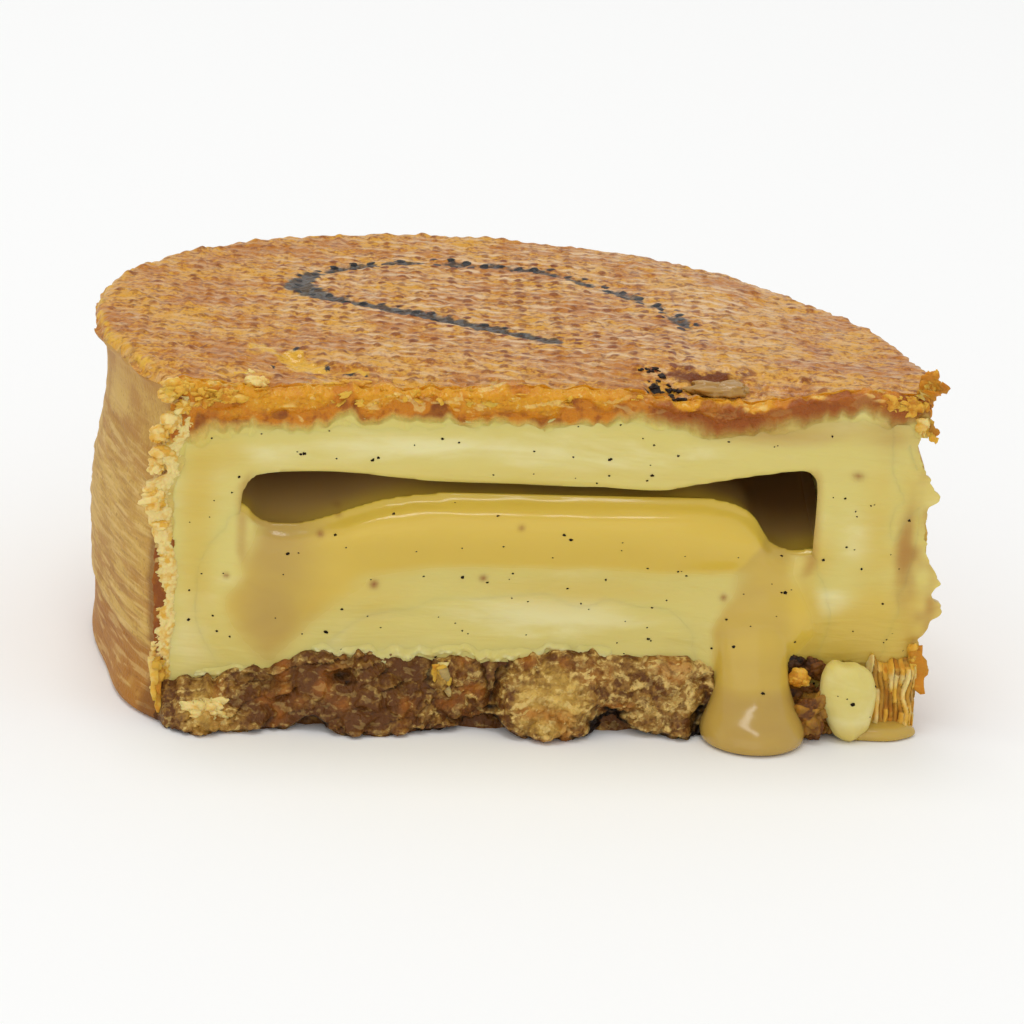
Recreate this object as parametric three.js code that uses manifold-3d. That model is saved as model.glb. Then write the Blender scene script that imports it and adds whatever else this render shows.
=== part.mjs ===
// A round custard tart with its front cut away: a laminated pastry case, a set custard filling,
// a soft caramel centre that runs out of the cut and down to the table, and a small lump of
// custard that has slid down beside it.
// Millimetres, +Z up. The origin is under the middle of the round, on the table, and the cut
// faces -Y.
import * as THREE from "three";
import { ParametricGeometry } from "three/addons/geometries/ParametricGeometry.js";
import { mergeVertices } from "three/addons/utils/BufferGeometryUtils.js";
import Module from "manifold-3d";

// The round: slightly oval in plan, with its long axis turned from +X towards +Y.
const LONG_RADIUS = 54.8;
const SHORT_RADIUS = 45.2;
const LONG_AXIS_TURN = THREE.MathUtils.degToRad(130);
const HEIGHT = 42.2;
const TOP_LEAN = 0.018; // the top rises this much for each millimetre towards +X
const CUT_AHEAD = 22.4; // the cut lies this far in front of the middle

// The pastry case.
const WALL = 3.8;
const TOP_CRUST = 3.7;
const BASE_CRUST = 8.4;
const RIM_LIP = 1.3; // the rim stands this far out over the wall's neck
const RIM_ROUND = 1.1;
const FOOT_ROUND = 3.2;
const LAYER_DEPTH = 0.3; // of the ridges that the pastry's layers leave on the wall
const TORN_DEPTH = 0.55; // of the crags on the cut pastry
const CRUMB_DEPTH = 1.1; // of the crags on the cut base
const BASE_REACH = 4.2; // the torn base stands this far in front of the cut
const BASE_GAP_START = 23; // along X, where the running caramel passes in front of the base
const BASE_GAP_END = 46;

// The caramel centre: a flat round pocket that has partly run empty.
const POCKET_SHARE = 0.82; // of the round's own radius
const POCKET_SHIFT = -2; // along X, from the middle of the round
const POCKET_FLOOR = 18;
const POCKET_CEILING = 29.2;
const POCKET_ROUND = 4;
const EMPTY_DEPTH = 26; // how far the drained space reaches back from the cut
const EMPTY_MIDDLE = 1.9; // its height at the cut, in the middle and at either end
const EMPTY_LEFT = 4.8;
const EMPTY_RIGHT = 8.6;

// The caramel that has run down the cut.
const DRIP_X = 29.6;
const DRIP_HALF_WIDTH = 4.7;
const DRIP_FOOT_RADIUS = 6.5;
const DRIP_FLATNESS = 0.72; // of its depth to its width
const DRIP_Y = -CUT_AHEAD - 2.6;
const DRIP_TOP = 12;

// The lump of custard beside the drip.
const LUMP_CENTRE = new THREE.Vector3(41.2, -CUT_AHEAD - 2.2, 4);
const LUMP_RADII = new THREE.Vector3(3.2, 2.1, 4.3);

const CLEAR = 0.3; // between pieces that lie against each other
const FAR = 90; // past everything

const wasm = await Module();
wasm.setup();

// Number helpers.

const mix = THREE.MathUtils.lerp;

// 0 before low, 1 after high, and a smooth rise between them.
function rise(t, low, high) {
  return THREE.MathUtils.smoothstep(t, low, high);
}

// 1 between low and high, falling smoothly to 0 over the given edge on either side.
function between(t, low, high, edge) {
  return rise(t, low - edge, low) * (1 - rise(t, high, high + edge));
}

// A repeatable value from -1 to 1 for one whole-numbered cell.
function cellValue(i, j) {
  const s = Math.sin(i * 127.1 + j * 311.7) * 43758.5453;
  return 2 * (s - Math.floor(s)) - 1;
}

// Smooth noise from -1 to 1 that passes through the cell values.
function noise(x, y) {
  const i = Math.floor(x);
  const j = Math.floor(y);
  const u = rise(x - i, 0, 1);
  const v = rise(y - j, 0, 1);
  const near = mix(cellValue(i, j), cellValue(i + 1, j), u);
  const far = mix(cellValue(i, j + 1), cellValue(i + 1, j + 1), u);
  return mix(near, far, v);
}

// Solid helpers.

// A closed three.js geometry as a solid: shared corners merged and collapsed triangles dropped.
function toSolid(geometry) {
  geometry.deleteAttribute("normal");
  geometry.deleteAttribute("uv");
  const merged = mergeVertices(geometry, 1e-4);
  const corners = merged.index.array;
  const kept = [];
  for (let i = 0; i < corners.length; i += 3) {
    const [a, b, c] = corners.slice(i, i + 3);
    if (a !== b && b !== c && a !== c) kept.push(a, b, c);
  }
  return new wasm.Manifold(
    new wasm.Mesh({
      numProp: 3,
      vertProperties: new Float32Array(merged.attributes.position.array),
      triVerts: new Uint32Array(kept),
    }),
  );
}

// The largest body of a solid as a three.js geometry, without loose scraps.
function toGeometry(solid) {
  const bodies = solid.decompose().sort((a, b) => b.volume() - a.volume());
  const mesh = bodies[0].getMesh();
  const geometry = new THREE.BufferGeometry();
  geometry.setAttribute("position", new THREE.BufferAttribute(mesh.vertProperties, 3));
  geometry.setIndex(new THREE.BufferAttribute(mesh.triVerts, 1));
  geometry.computeVertexNormals();
  return geometry;
}

// A box with divided faces whose corners are then moved by shape(point, at), where at says how
// far along each side of the plain box the corner lay, from 0 to 1.
function shapedBox(low, high, divisions = [1, 1, 1], shape = () => {}) {
  const box = new THREE.BoxGeometry(1, 1, 1, ...divisions);
  box.translate(0.5, 0.5, 0.5);
  const places = box.attributes.position;
  const size = high.clone().sub(low);
  const at = new THREE.Vector3();
  const point = new THREE.Vector3();
  for (let i = 0; i < places.count; i += 1) {
    at.fromBufferAttribute(places, i);
    point.copy(at).multiply(size).add(low);
    shape(point, at);
    places.setXYZ(i, ...point.toArray());
  }
  return toSolid(box);
}

// The oval's radius at an angle round the middle.
function planRadius(angle) {
  const across = SHORT_RADIUS * Math.cos(angle - LONG_AXIS_TURN);
  const along = LONG_RADIUS * Math.sin(angle - LONG_AXIS_TURN);
  return (LONG_RADIUS * SHORT_RADIUS) / Math.hypot(across, along);
}

// Where the cut meets the round, left and right.
function cutEnds() {
  const ends = [];
  const steps = 720;
  for (let i = 0; i < steps; i += 1) {
    const [a, b] = [i, i + 1].map((k) => (2 * Math.PI * k) / steps);
    const [ya, yb] = [a, b].map((t) => planRadius(t) * Math.sin(t) + CUT_AHEAD);
    if (ya * yb <= 0) ends.push(planRadius(a) * Math.cos(a));
  }
  return [Math.min(...ends), Math.max(...ends)];
}

// A flat round with rounded edges, from the middle of its floor up its wall to the middle of its
// top. rows counts the steps in floor, lower edge, wall, upper edge and top; wallOut(t) pushes
// the wall in or out at a share t of its height; shape(point, angle, wallRow) finishes a corner.
function roundBody({ columns, rows, out, floor, top, lowRound, highRound, wallOut, shape }) {
  const starts = [0];
  for (const count of rows) starts.push(starts.at(-1) + count);
  const total = starts.at(-1);
  const push = wallOut ?? (() => 0);
  const section = (row) => {
    const part = Math.max(0, starts.findIndex((start) => row <= start) - 1);
    const t = (row - starts[part]) / rows[part];
    const turn = (t * Math.PI) / 2;
    if (part === 0) return [t, out + push(0) - lowRound, floor];
    if (part === 1) {
      const z = floor + lowRound * (1 - Math.cos(turn));
      return [1, out + push(0) - lowRound * (1 - Math.sin(turn)), z];
    }
    if (part === 2) return [1, out + push(t), mix(floor + lowRound, top - highRound, t)];
    if (part === 3) {
      const z = top - highRound * (1 - Math.sin(turn));
      return [1, out + push(1) - highRound * (1 - Math.cos(turn)), z];
    }
    return [1 - t, out + push(1) - highRound, top];
  };
  const surface = (u, v, point) => {
    const angle = 2 * Math.PI * u;
    const row = Math.round(v * total);
    const [share, outside, z] = section(row);
    const radius = share * (planRadius(angle) + outside);
    point.set(radius * Math.cos(angle), radius * Math.sin(angle), z);
    shape(point, angle, row - starts[2]);
  };
  return toSolid(new ParametricGeometry(surface, columns, total));
}

// Shapes of the food.

// The wall's outline from foot (0) to rim (1): a slight belly, then a neck under the rim's lip.
function wallOutline(t) {
  const foot = 0.3 * (1 - rise(t, 0, 0.08));
  const belly = 0.8 * rise(t, 0.12, 0.42) * (1 - rise(t, 0.5, 0.76));
  const neck = 0.3 * between(t, 0.8, 0.86, 0.1);
  const lip = RIM_LIP * rise(t, 0.87, 1);
  return foot + belly - neck + lip - RIM_LIP;
}

// Ridges of the pastry's layers, one to each pair of wall rows, deepest on the lower wall.
function layerRidge(angle, z, wallRow) {
  const [ahead, aside] = [Math.cos(angle), Math.sin(angle)];
  const tooth = wallRow % 2 ? 1 : -1;
  const strength = between(z, FOOT_ROUND + 1, HEIGHT * 0.74, 3);
  return LAYER_DEPTH * tooth * strength * (0.9 + 0.6 * noise(7 * ahead, 7 * aside + z));
}

// The height of the base's upper side: thin at the left end, lumpy elsewhere.
function baseTop(x, y) {
  const taper = mix(0.45, 1, rise(x, -44, -10));
  return BASE_CRUST * taper + 0.7 * noise(x / 6, y / 6);
}

// How far the cut pastry stands in front of the cut (positive) at a place on the cut.
function tornReach(x, z) {
  const flaky = TORN_DEPTH * noise(x / 1.9, z / 1.6);
  const top = baseTop(x, -CUT_AHEAD) + 1.2;
  const low = 1 - rise(z, top - 2.5, top);
  const inGap = between(x, BASE_GAP_START, BASE_GAP_END, 1.5);
  const clumps = 1 + 0.45 * noise(x / 7, 5);
  const crumbs = CRUMB_DEPTH * (noise(x / 3.1, z / 2.7) + 0.6 * noise(x / 1.9, z / 1.9));
  const base = BASE_REACH * clumps * mix(0.75, 1, 1 - z / top) + crumbs;
  return flaky + low * mix(base, -1.2, inGap);
}

// The space for the filling, made smaller by clear on every side.
function fillingSpace(clear) {
  const roof = HEIGHT - TOP_CRUST - clear;
  return roundBody({
    columns: 56,
    rows: [6, 0, 1, 0, 1],
    out: -WALL - clear,
    floor: 0,
    top: 1,
    lowRound: 0,
    highRound: 0,
    shape: (point) => {
      const floor = baseTop(point.x, point.y) + clear;
      point.z = mix(floor, roof + TOP_LEAN * point.x, point.z);
    },
  });
}

// The pocket's ceiling sags in the middle and lifts towards both ends.
function ceilingLift(x) {
  return 0.0016 * x * x + 0.02 * x;
}

// The flat pocket in the custard, made smaller by clear on every side.
function pocket(clear) {
  return roundBody({
    columns: 44,
    rows: [1, 3, 1, 3, 4],
    out: -clear,
    floor: POCKET_FLOOR + clear,
    top: POCKET_CEILING - clear,
    lowRound: POCKET_ROUND,
    highRound: POCKET_ROUND,
    shape: (point) => {
      point.x = point.x * POCKET_SHARE + POCKET_SHIFT;
      point.y *= POCKET_SHARE;
      const upper = rise(point.z, POCKET_FLOOR + 5, POCKET_CEILING - 1);
      point.z += upper * ceilingLift(point.x);
    },
  });
}

// Saw-toothed flakes that stand out of the case's torn edges, as leaf-shaped plates in the plane
// of the cut. Each row is a height, a length and a height of root.
function flakes(grow) {
  const [left, right] = cutEnds();
  const onLeft = [
    [8, 1.2, 3],
    [14, 1.3, 3.5],
    [22, 2, 2.6],
    [25, 3, 2.4],
    [28.5, 2.5, 2.6],
    [31.5, 1.8, 2.4],
    [39.4, 2, 2.2],
  ];
  const onRight = [
    [6.5, 1.9, 4],
    [11, 1.2, 3],
    [17, 2.4, 5.5],
    [24, 1.4, 4],
    [30, 2.3, 4.5],
    [36, 1.3, 3.5],
    [40, 2, 3],
  ];
  const plate = (edge, side) => ([z, length, root], k) => {
    const leaf = new THREE.Shape();
    leaf.moveTo(-1.8, -root / 2 - grow);
    leaf.quadraticCurveTo(length * 0.5, -root * 0.45 - grow, length + grow, -root * 0.2);
    leaf.lineTo(length * 0.8 + grow, root * 0.05 + grow);
    leaf.quadraticCurveTo(length * 0.35, root * 0.25 + grow, -1.8, root / 2 + grow);
    const depth = 1.5 + 0.5 * cellValue(k, 7) + 2 * grow;
    const solid = new THREE.ExtrudeGeometry(leaf, { depth, bevelEnabled: false, curveSegments: 3 });
    solid.translate(0, 0, -0.7 - grow);
    solid.rotateX(Math.PI / 2);
    solid.rotateZ(0.35 * cellValue(k, 13));
    if (side < 0) solid.rotateZ(Math.PI);
    solid.translate(edge - side * 0.9, -CUT_AHEAD + 0.6, z);
    return toSolid(solid);
  };
  return [...onLeft.map(plate(left, -1)), ...onRight.map(plate(right, 1))];
}

// The pastry case, grown by grow on every side when other pieces need to keep clear of it.
function pastryCase(grow = 0) {
  const body = roundBody({
    columns: 78,
    rows: [1, 4, 30, 4, 1],
    out: grow,
    floor: 0,
    top: HEIGHT + grow,
    lowRound: FOOT_ROUND,
    highRound: RIM_ROUND,
    wallOut: wallOutline,
    shape: (point, angle, wallRow) => {
      const ridge = layerRidge(angle, point.z, wallRow);
      point.x += ridge * Math.cos(angle);
      point.y += ridge * Math.sin(angle);
      point.z *= 1 + (TOP_LEAN * point.x) / HEIGHT;
    },
  });
  const front = shapedBox(
    new THREE.Vector3(-56, -FAR, -1),
    new THREE.Vector3(56, 0, HEIGHT + 4),
    [62, 1, 30],
    (point, at) => {
      if (at.y > 0.5) point.y = -CUT_AHEAD - grow - tornReach(point.x, point.z);
    },
  );
  const whole = body.subtract(fillingSpace(grow)).subtract(front);
  return wasm.Manifold.union([whole, ...flakes(grow)]);
}

// The set custard: fills the case behind the cut, round the pocket.
function custardFilling() {
  const front = shapedBox(
    new THREE.Vector3(-FAR, -FAR, -FAR),
    new THREE.Vector3(FAR, -CUT_AHEAD, FAR),
  );
  return fillingSpace(CLEAR).subtract(front).subtract(pocket(0));
}

// The height of the drained space in the pocket, by place along the cut and depth behind it.
function emptyHeight(x, y) {
  const left = mix(EMPTY_LEFT, EMPTY_MIDDLE, rise(x, -24, -10));
  const atCut = mix(left, EMPTY_RIGHT, rise(x, 19, 30));
  return atCut * (1 - rise(y + CUT_AHEAD, 0.35 * EMPTY_DEPTH, EMPTY_DEPTH));
}

// The larger of two values, with the corner between them filled over the given width.
function softMax(a, b, width) {
  const h = Math.max(0, width - Math.abs(a - b)) / width;
  return Math.max(a, b) + (h * h * width) / 4;
}

// A run of caramel: full in the middle of its width and along its length, falling to below zero
// outside them.
function run(thickness, across, halfWidth, along, low, high, edge) {
  const side = 1 - (across / halfWidth) ** 2;
  const below = (along - low) / edge;
  const above = (high - along) / edge;
  return thickness * Math.min(1, 1.6 * side, below, above);
}

// How thick the caramel lies on the cut at a place: a rolled lip below the pocket, a broad run at
// the left, the main run at the right and a thin coat beyond it. Zero or less means bare.
function coatThickness(x, z) {
  const lipHeight = mix(24.4, 26.8, between(x, -8, 16, 14));
  const lip = run(2.1, x - 3, 31, z, lipHeight - 7.5, lipHeight + 0.9, 3.2);
  const leftHalf = mix(4, 6.8, rise(z, 6, 20));
  const left = run(1.9, x + 28, leftHalf, z, 6.6, 25.6, 3);
  const rightHalf = mix(DRIP_HALF_WIDTH + 0.6, 7, rise(z, 8, 18));
  const right = run(2.6, x - DRIP_X - 0.5, rightHalf, z, -2, 24, 4);
  const film = run(1.2, x - 40.5, 6.6, z, 0.2, 20.5, 3);
  const ends = softMax(left, softMax(right, film, 1.2), 1.2);
  return softMax(lip, ends, 1.2);
}

// The caramel: what is left in the pocket, the coat on the cut, and the drip with its foot.
function caramel() {
  const above = shapedBox(
    new THREE.Vector3(-50, -32, 0),
    new THREE.Vector3(50, 52, FAR),
    [36, 30, 1],
    (point, at) => {
      if (at.z > 0.5) return;
      const empty = emptyHeight(point.x, point.y);
      const ceiling = POCKET_CEILING + ceilingLift(point.x);
      point.z = empty > 0.05 ? ceiling - empty : ceiling + 4;
    },
  );
  const ahead = shapedBox(
    new THREE.Vector3(-FAR, -FAR, -FAR),
    new THREE.Vector3(FAR, -CUT_AHEAD - 1.2, FAR),
  );
  const held = pocket(CLEAR).subtract(above).subtract(ahead);

  const behind = shapedBox(
    new THREE.Vector3(-FAR, -CUT_AHEAD - CLEAR, -FAR),
    new THREE.Vector3(FAR, FAR, FAR),
  );
  const coat = shapedBox(
    new THREE.Vector3(-37, -CUT_AHEAD - 1, 0.4),
    new THREE.Vector3(48.5, -CUT_AHEAD + 3, 29),
    [50, 1, 19],
    (point, at) => {
      if (at.y < 0.5) point.y = -CUT_AHEAD - CLEAR - coatThickness(point.x, point.z);
    },
  );

  const dripOutline = [
    [0, 0],
    [0.92, 0],
    [1, 0.9],
    [0.97, 2],
    [0.84, 3.6],
    [0.74, 5.2],
    [0.7, 7.5],
    [0.62, 10],
    [0.35, DRIP_TOP],
    [0, DRIP_TOP + 0.5],
  ].map(([share, z]) => new THREE.Vector2(share * DRIP_FOOT_RADIUS, z));
  const drip = new THREE.LatheGeometry(dripOutline, 24);
  drip.rotateX(Math.PI / 2);
  drip.scale(1, DRIP_FLATNESS, 1);
  drip.translate(DRIP_X, DRIP_Y, 0);

  const outside = coat.add(toSolid(drip)).subtract(behind);
  return held.add(outside).subtract(pastryCase(CLEAR)).subtract(custardLump(CLEAR));
}

// The lump of custard that has slid down the cut: an uneven rounded block on the table.
function custardLump(grow = 0) {
  const lump = new THREE.SphereGeometry(1, 16, 10);
  lump.rotateX(Math.PI / 2);
  const places = lump.attributes.position;
  const point = new THREE.Vector3();
  for (let i = 0; i < places.count; i += 1) {
    point.fromBufferAttribute(places, i);
    const swell = 1 + 0.1 * Math.sin(3.1 * point.x + 2 * point.z) + 0.06 * Math.cos(5 * point.z);
    point.multiply(LUMP_RADII).multiplyScalar(swell);
    point.addScaledVector(point.clone().normalize(), grow);
    point.add(LUMP_CENTRE);
    point.z = Math.max(point.z, -grow);
    places.setXYZ(i, ...point.toArray());
  }
  return toSolid(lump);
}

// The tart.

function piece(name, solid, colour, roughness) {
  const material = new THREE.MeshStandardMaterial({ color: colour, roughness, metalness: 0 });
  const mesh = new THREE.Mesh(toGeometry(solid), material);
  mesh.name = name;
  return mesh;
}

const tart = new THREE.Group();
tart.name = "custard_tart";
tart.add(
  piece("pastry_case", pastryCase(), 0xc4924f, 0.55),
  piece("custard", custardFilling(), 0xdccb86, 0.45),
  piece("caramel", caramel(), 0xc29c50, 0.25),
  piece("custard_lump", custardLump(), 0xd9c973, 0.4),
);

export default tart;
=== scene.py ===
"""A cut custard tart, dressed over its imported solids.

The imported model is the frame. Every shape here is worked out in millimetres, in the frame's own
axes: +Z up, the cut facing -Y, the origin under the middle of the round. Points become metres
when a mesh is made. The driving sizes are in TartForm: the round, its height and the cut are those
of the solids.
"""

from __future__ import annotations

import logging
import math
from dataclasses import dataclass, field
from enum import Enum, IntEnum

import bpy
import numpy as np
from mathutils import Matrix, Vector
from mathutils.bvhtree import BVHTree

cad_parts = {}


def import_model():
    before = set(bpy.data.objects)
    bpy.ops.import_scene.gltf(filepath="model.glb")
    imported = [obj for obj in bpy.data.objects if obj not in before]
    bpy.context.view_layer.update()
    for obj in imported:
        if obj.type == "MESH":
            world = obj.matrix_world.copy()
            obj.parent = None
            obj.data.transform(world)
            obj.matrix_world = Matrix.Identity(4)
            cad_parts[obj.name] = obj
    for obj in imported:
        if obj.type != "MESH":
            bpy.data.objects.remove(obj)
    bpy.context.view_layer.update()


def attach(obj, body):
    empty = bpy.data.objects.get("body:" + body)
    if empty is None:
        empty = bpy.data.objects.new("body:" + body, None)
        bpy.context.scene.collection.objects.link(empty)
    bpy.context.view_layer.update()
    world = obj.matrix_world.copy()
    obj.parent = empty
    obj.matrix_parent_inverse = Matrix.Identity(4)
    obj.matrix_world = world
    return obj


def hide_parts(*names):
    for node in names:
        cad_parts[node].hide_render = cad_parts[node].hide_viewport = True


LOG = logging.getLogger("custard_tart")
MM = 0.001
ON_TABLE = 0.02  # the lowest that loose food reaches, just clear of the floor
FAR_AHEAD = -90.0  # in front of everything

Array = np.ndarray
Colour = tuple[float, float, float]


# Number helpers


def rise(t: Array, low: float, high: float) -> Array:
    """A smooth step: 0 before low, 1 after high, 3s^2 - 2s^3 between them."""
    s = np.clip((t - low) / (high - low), 0.0, 1.0)
    return s * s * (3.0 - 2.0 * s)


def between(t: Array, low: float, high: float, edge: float) -> Array:
    """1 from low to high, falling smoothly to 0 over an edge on either side."""
    return rise(t, low - edge, low) * (1.0 - rise(t, high, high + edge))


def bump(t: Array, middle: float, spread: float) -> Array:
    """A bell, exp(-((t - middle) / spread)^2)."""
    return np.exp(-(((t - middle) / spread) ** 2))


def soft_max(a: Array, b: Array, width: float) -> Array:
    """The larger of two values, with the corner between them filled over a width."""
    h = np.maximum(width - np.abs(a - b), 0.0) / width
    return np.maximum(a, b) + h * h * width / 4.0


def cell_values(i: Array, j: Array, seed: int) -> Array:
    """Repeatable values from 0 to 1 for whole-numbered cells, by integer hashing.

    Args:
        i: First cell number.
        j: Second cell number.
        seed: Changes the whole pattern.

    Returns:
        One value for each cell.
    """
    mixed = i.astype(np.int64) * 374761393 + j.astype(np.int64) * 668265263 + seed * 974634777
    mixed &= 0xFFFFFFFF
    mixed = ((mixed ^ (mixed >> 13)) * 1274126177) & 0xFFFFFFFF
    return ((mixed ^ (mixed >> 16)) & 0xFFFF) / 65535.0


def noise(x: Array, y: Array, seed: int = 0) -> Array:
    """Smooth noise: the cell values at the four corners of a unit square, eased into each other.

    Args:
        x: First coordinate, in cells.
        y: Second coordinate, in cells.
        seed: Changes the whole pattern.

    Returns:
        Values from -1 to 1.
    """
    x, y = np.broadcast_arrays(np.asarray(x, float), np.asarray(y, float))
    i, j = np.floor(x), np.floor(y)
    u, v = rise(x - i, 0.0, 1.0), rise(y - j, 0.0, 1.0)
    near = cell_values(i, j, seed) * (1 - u) + cell_values(i + 1, j, seed) * u
    far = cell_values(i, j + 1, seed) * (1 - u) + cell_values(i + 1, j + 1, seed) * u
    return 2.0 * (near * (1 - v) + far * v) - 1.0


def layered_noise(x: Array, y: Array, seed: int = 0, layers: int = 3) -> Array:
    """Noise summed over layers, each twice as fine and half as strong as the one before.

    Args:
        x: First coordinate, in cells.
        y: Second coordinate, in cells.
        seed: Changes the whole pattern.
        layers: How many layers.

    Returns:
        Values from about -1 to 1.
    """
    total = 0.0
    for k in range(layers):
        total = total + noise(x * 2.0**k + 7.3 * k, y * 2.0**k - 3.1 * k, seed + 17 * k) * 0.5**k
    return total / (2.0 - 0.5 ** (layers - 1))


def lumps(x: Array, y: Array, seed: int = 0) -> tuple[Array, Array, Array]:
    """Cells round scattered points: distances to the nearest two points, and the nearest one's value.

    Args:
        x: First coordinate, in cells.
        y: Second coordinate, in cells.
        seed: Changes the whole pattern.

    Returns:
        The two distances in cells, and a value from 0 to 1 that is the same all over a cell.
    """
    x, y = np.broadcast_arrays(np.asarray(x, float), np.asarray(y, float))
    i, j = np.floor(x), np.floor(y)
    nearest, second = np.full(x.shape, 9.0), np.full(x.shape, 9.0)
    own = np.zeros(x.shape)
    for di in (-1, 0, 1):
        for dj in (-1, 0, 1):
            px = i + di + cell_values(i + di, j + dj, seed)
            py = j + dj + cell_values(i + di, j + dj, seed + 5)
            distance = np.hypot(x - px, y - py)
            closer = distance < nearest
            second = np.where(closer, nearest, np.minimum(second, distance))
            nearest = np.where(closer, distance, nearest)
            own = np.where(closer, cell_values(i + di, j + dj, seed + 9), own)
    return nearest, second, own


def crumbs(x: Array, y: Array, border: float, seed: int) -> tuple[Array, Array]:
    """Cells that stand out from sunken borders, for crumbs of any size.

    Args:
        x: First coordinate, in cells.
        y: Second coordinate, in cells.
        border: How wide the borders are, in cells.
        seed: Changes the whole pattern.

    Returns:
        The height from 0 at a border to 1, and a value that is the same all over a cell.
    """
    nearest, second, own = lumps(x, y, seed)
    return rise(second - nearest, 0.0, border), own


def smooth_path(points: tuple, steps: int, closed: bool = False) -> Array:
    """A smooth curve through points, cubic between each pair with slopes from their neighbours.

    Args:
        points: The points that it passes through.
        steps: How many points come back for each stretch.
        closed: Whether it runs back to its first point.

    Returns:
        Points along the curve.
    """
    given = np.asarray(points, float)
    if closed:
        ends = np.vstack([given[-1], given, given[0], given[1]])
    else:
        ends = np.vstack([2 * given[0] - given[1], given, 2 * given[-1] - given[-2]])
    t = np.linspace(0.0, 1.0, steps, endpoint=False)[:, None]
    parts = []
    for a, b, c, d in zip(ends[:-3], ends[1:-2], ends[2:-1], ends[3:]):
        slope = (c - a) * t + (2 * a - 5 * b + 4 * c - d) * t**2 + (3 * b - a - 3 * c + d) * t**3
        parts.append(b + 0.5 * slope)
    return np.vstack(parts if closed else [*parts, given[-1:]])


def along_path(x: Array, points: tuple) -> Array:
    """The height of a smooth line through points, looked up by its first coordinate."""
    line = smooth_path(points, 8)
    return np.interp(x, line[:, 0], line[:, 1])


def depth_inside(x: Array, z: Array, loop: Array) -> Array:
    """How far places lie inside a closed loop: the distance to it, below zero outside.

    Args:
        x: First coordinate.
        z: Second coordinate.
        loop: The loop's points.

    Returns:
        Signed distances.
    """
    nearest = np.full(np.shape(x), 1e9)
    inside = np.zeros(np.shape(x), bool)
    for (ax, az), (bx, bz) in zip(loop, np.roll(loop, -1, axis=0)):
        dx, dz = bx - ax, bz - az
        t = np.clip(((x - ax) * dx + (z - az) * dz) / (dx * dx + dz * dz + 1e-12), 0.0, 1.0)
        nearest = np.minimum(nearest, np.hypot(x - ax - t * dx, z - az - t * dz))
        level = (az > z) != (bz > z)
        inside ^= level & (x < ax + (z - az) * dx / (dz if dz else 1e-12))
    return np.where(inside, nearest, -nearest)


@dataclass(frozen=True)
class Spot:
    """A soft round patch on the cut or, with y for z, on the top."""

    x: float
    z: float
    wide: float
    tall: float
    strength: float = 1.0

    def share(self, x: Array, z: Array) -> Array:
        """The patch's strength at places: a bell in both directions."""
        return self.strength * bump(x, self.x, self.wide) * bump(z, self.z, self.tall)


def together(spots: tuple[Spot, ...], x: Array, z: Array) -> Array:
    """Several patches added up."""
    return sum((spot.share(x, z) for spot in spots), np.zeros(np.shape(x)))


# Mesh helpers


@dataclass
class Surface:
    """Points in millimetres with their four- and three-cornered faces."""

    points: Array
    quads: Array
    triangles: Array = field(default_factory=lambda: np.zeros((0, 3), int))

    def outward(self) -> "Surface":
        """Turns a closed surface so that its faces point outwards, by the sign of its volume."""
        halves = [self.quads[:, [0, 1, 2]], self.quads[:, [0, 2, 3]], self.triangles]
        corners = self.points[np.vstack(halves)]
        volume = np.einsum("ij,ij->", corners[:, 0], np.cross(corners[:, 1], corners[:, 2]))
        if volume >= 0:
            return self
        return Surface(self.points, self.quads[:, ::-1], self.triangles[:, ::-1])


def grid_quads(rows: int, columns: int, closed: bool = False) -> Array:
    """The faces of a grid of points stored row by row.

    Args:
        rows: Number of rows of points.
        columns: Number of points in a row.
        closed: Whether the last column joins the first.

    Returns:
        Four point numbers for each face.
    """
    r, c = np.meshgrid(
        np.arange(rows - 1), np.arange(columns if closed else columns - 1), indexing="ij"
    )
    nxt = (c + 1) % columns
    corners = [r * columns + c, r * columns + nxt, (r + 1) * columns + nxt, (r + 1) * columns + c]
    return np.stack(corners, axis=-1).reshape(-1, 4)


def round_surface(rings: Array) -> Surface:
    """A closed surface from rings of points, with a fan of triangles over each end.

    Args:
        rings: Points as (rings, points in a ring, 3).

    Returns:
        The surface, facing outwards.
    """
    count, columns, _ = rings.shape
    points = np.vstack([rings.reshape(-1, 3), rings[0].mean(axis=0), rings[-1].mean(axis=0)])
    quads = grid_quads(count, columns, closed=True)
    first = np.arange(columns)
    second = (first + 1) % columns
    low = np.stack([second, first, np.full(columns, count * columns)], axis=1)
    last = (count - 1) * columns
    high = np.stack([last + first, last + second, np.full(columns, count * columns + 1)], axis=1)
    return Surface(points, quads, np.vstack([low, high])).outward()


def slab_surface(grid: Array, axis: int, back: float) -> Surface:
    """A closed block whose front is a grid of points and whose back is the same grid made flat.

    Args:
        grid: Points as (rows, columns, 3).
        axis: The axis along which the block is thick.
        back: Where its flat back lies on that axis.

    Returns:
        The surface, facing outwards.
    """
    rows, columns, _ = grid.shape
    number = np.arange(rows * columns).reshape(rows, columns)
    edge = np.concatenate(
        [number[0, :-1], number[:-1, -1], number[-1, :0:-1], number[:0:-1, 0]]
    )
    front = grid.reshape(-1, 3)
    behind = front.copy()
    behind[:, axis] = back
    count = len(front)
    ahead = np.roll(edge, -1)
    sides = np.stack([ahead, edge, edge + count, ahead + count], axis=1)
    quads = grid_quads(rows, columns)
    return Surface(np.vstack([front, behind]), np.vstack([quads, quads[:, ::-1] + count, sides])).outward()


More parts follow.
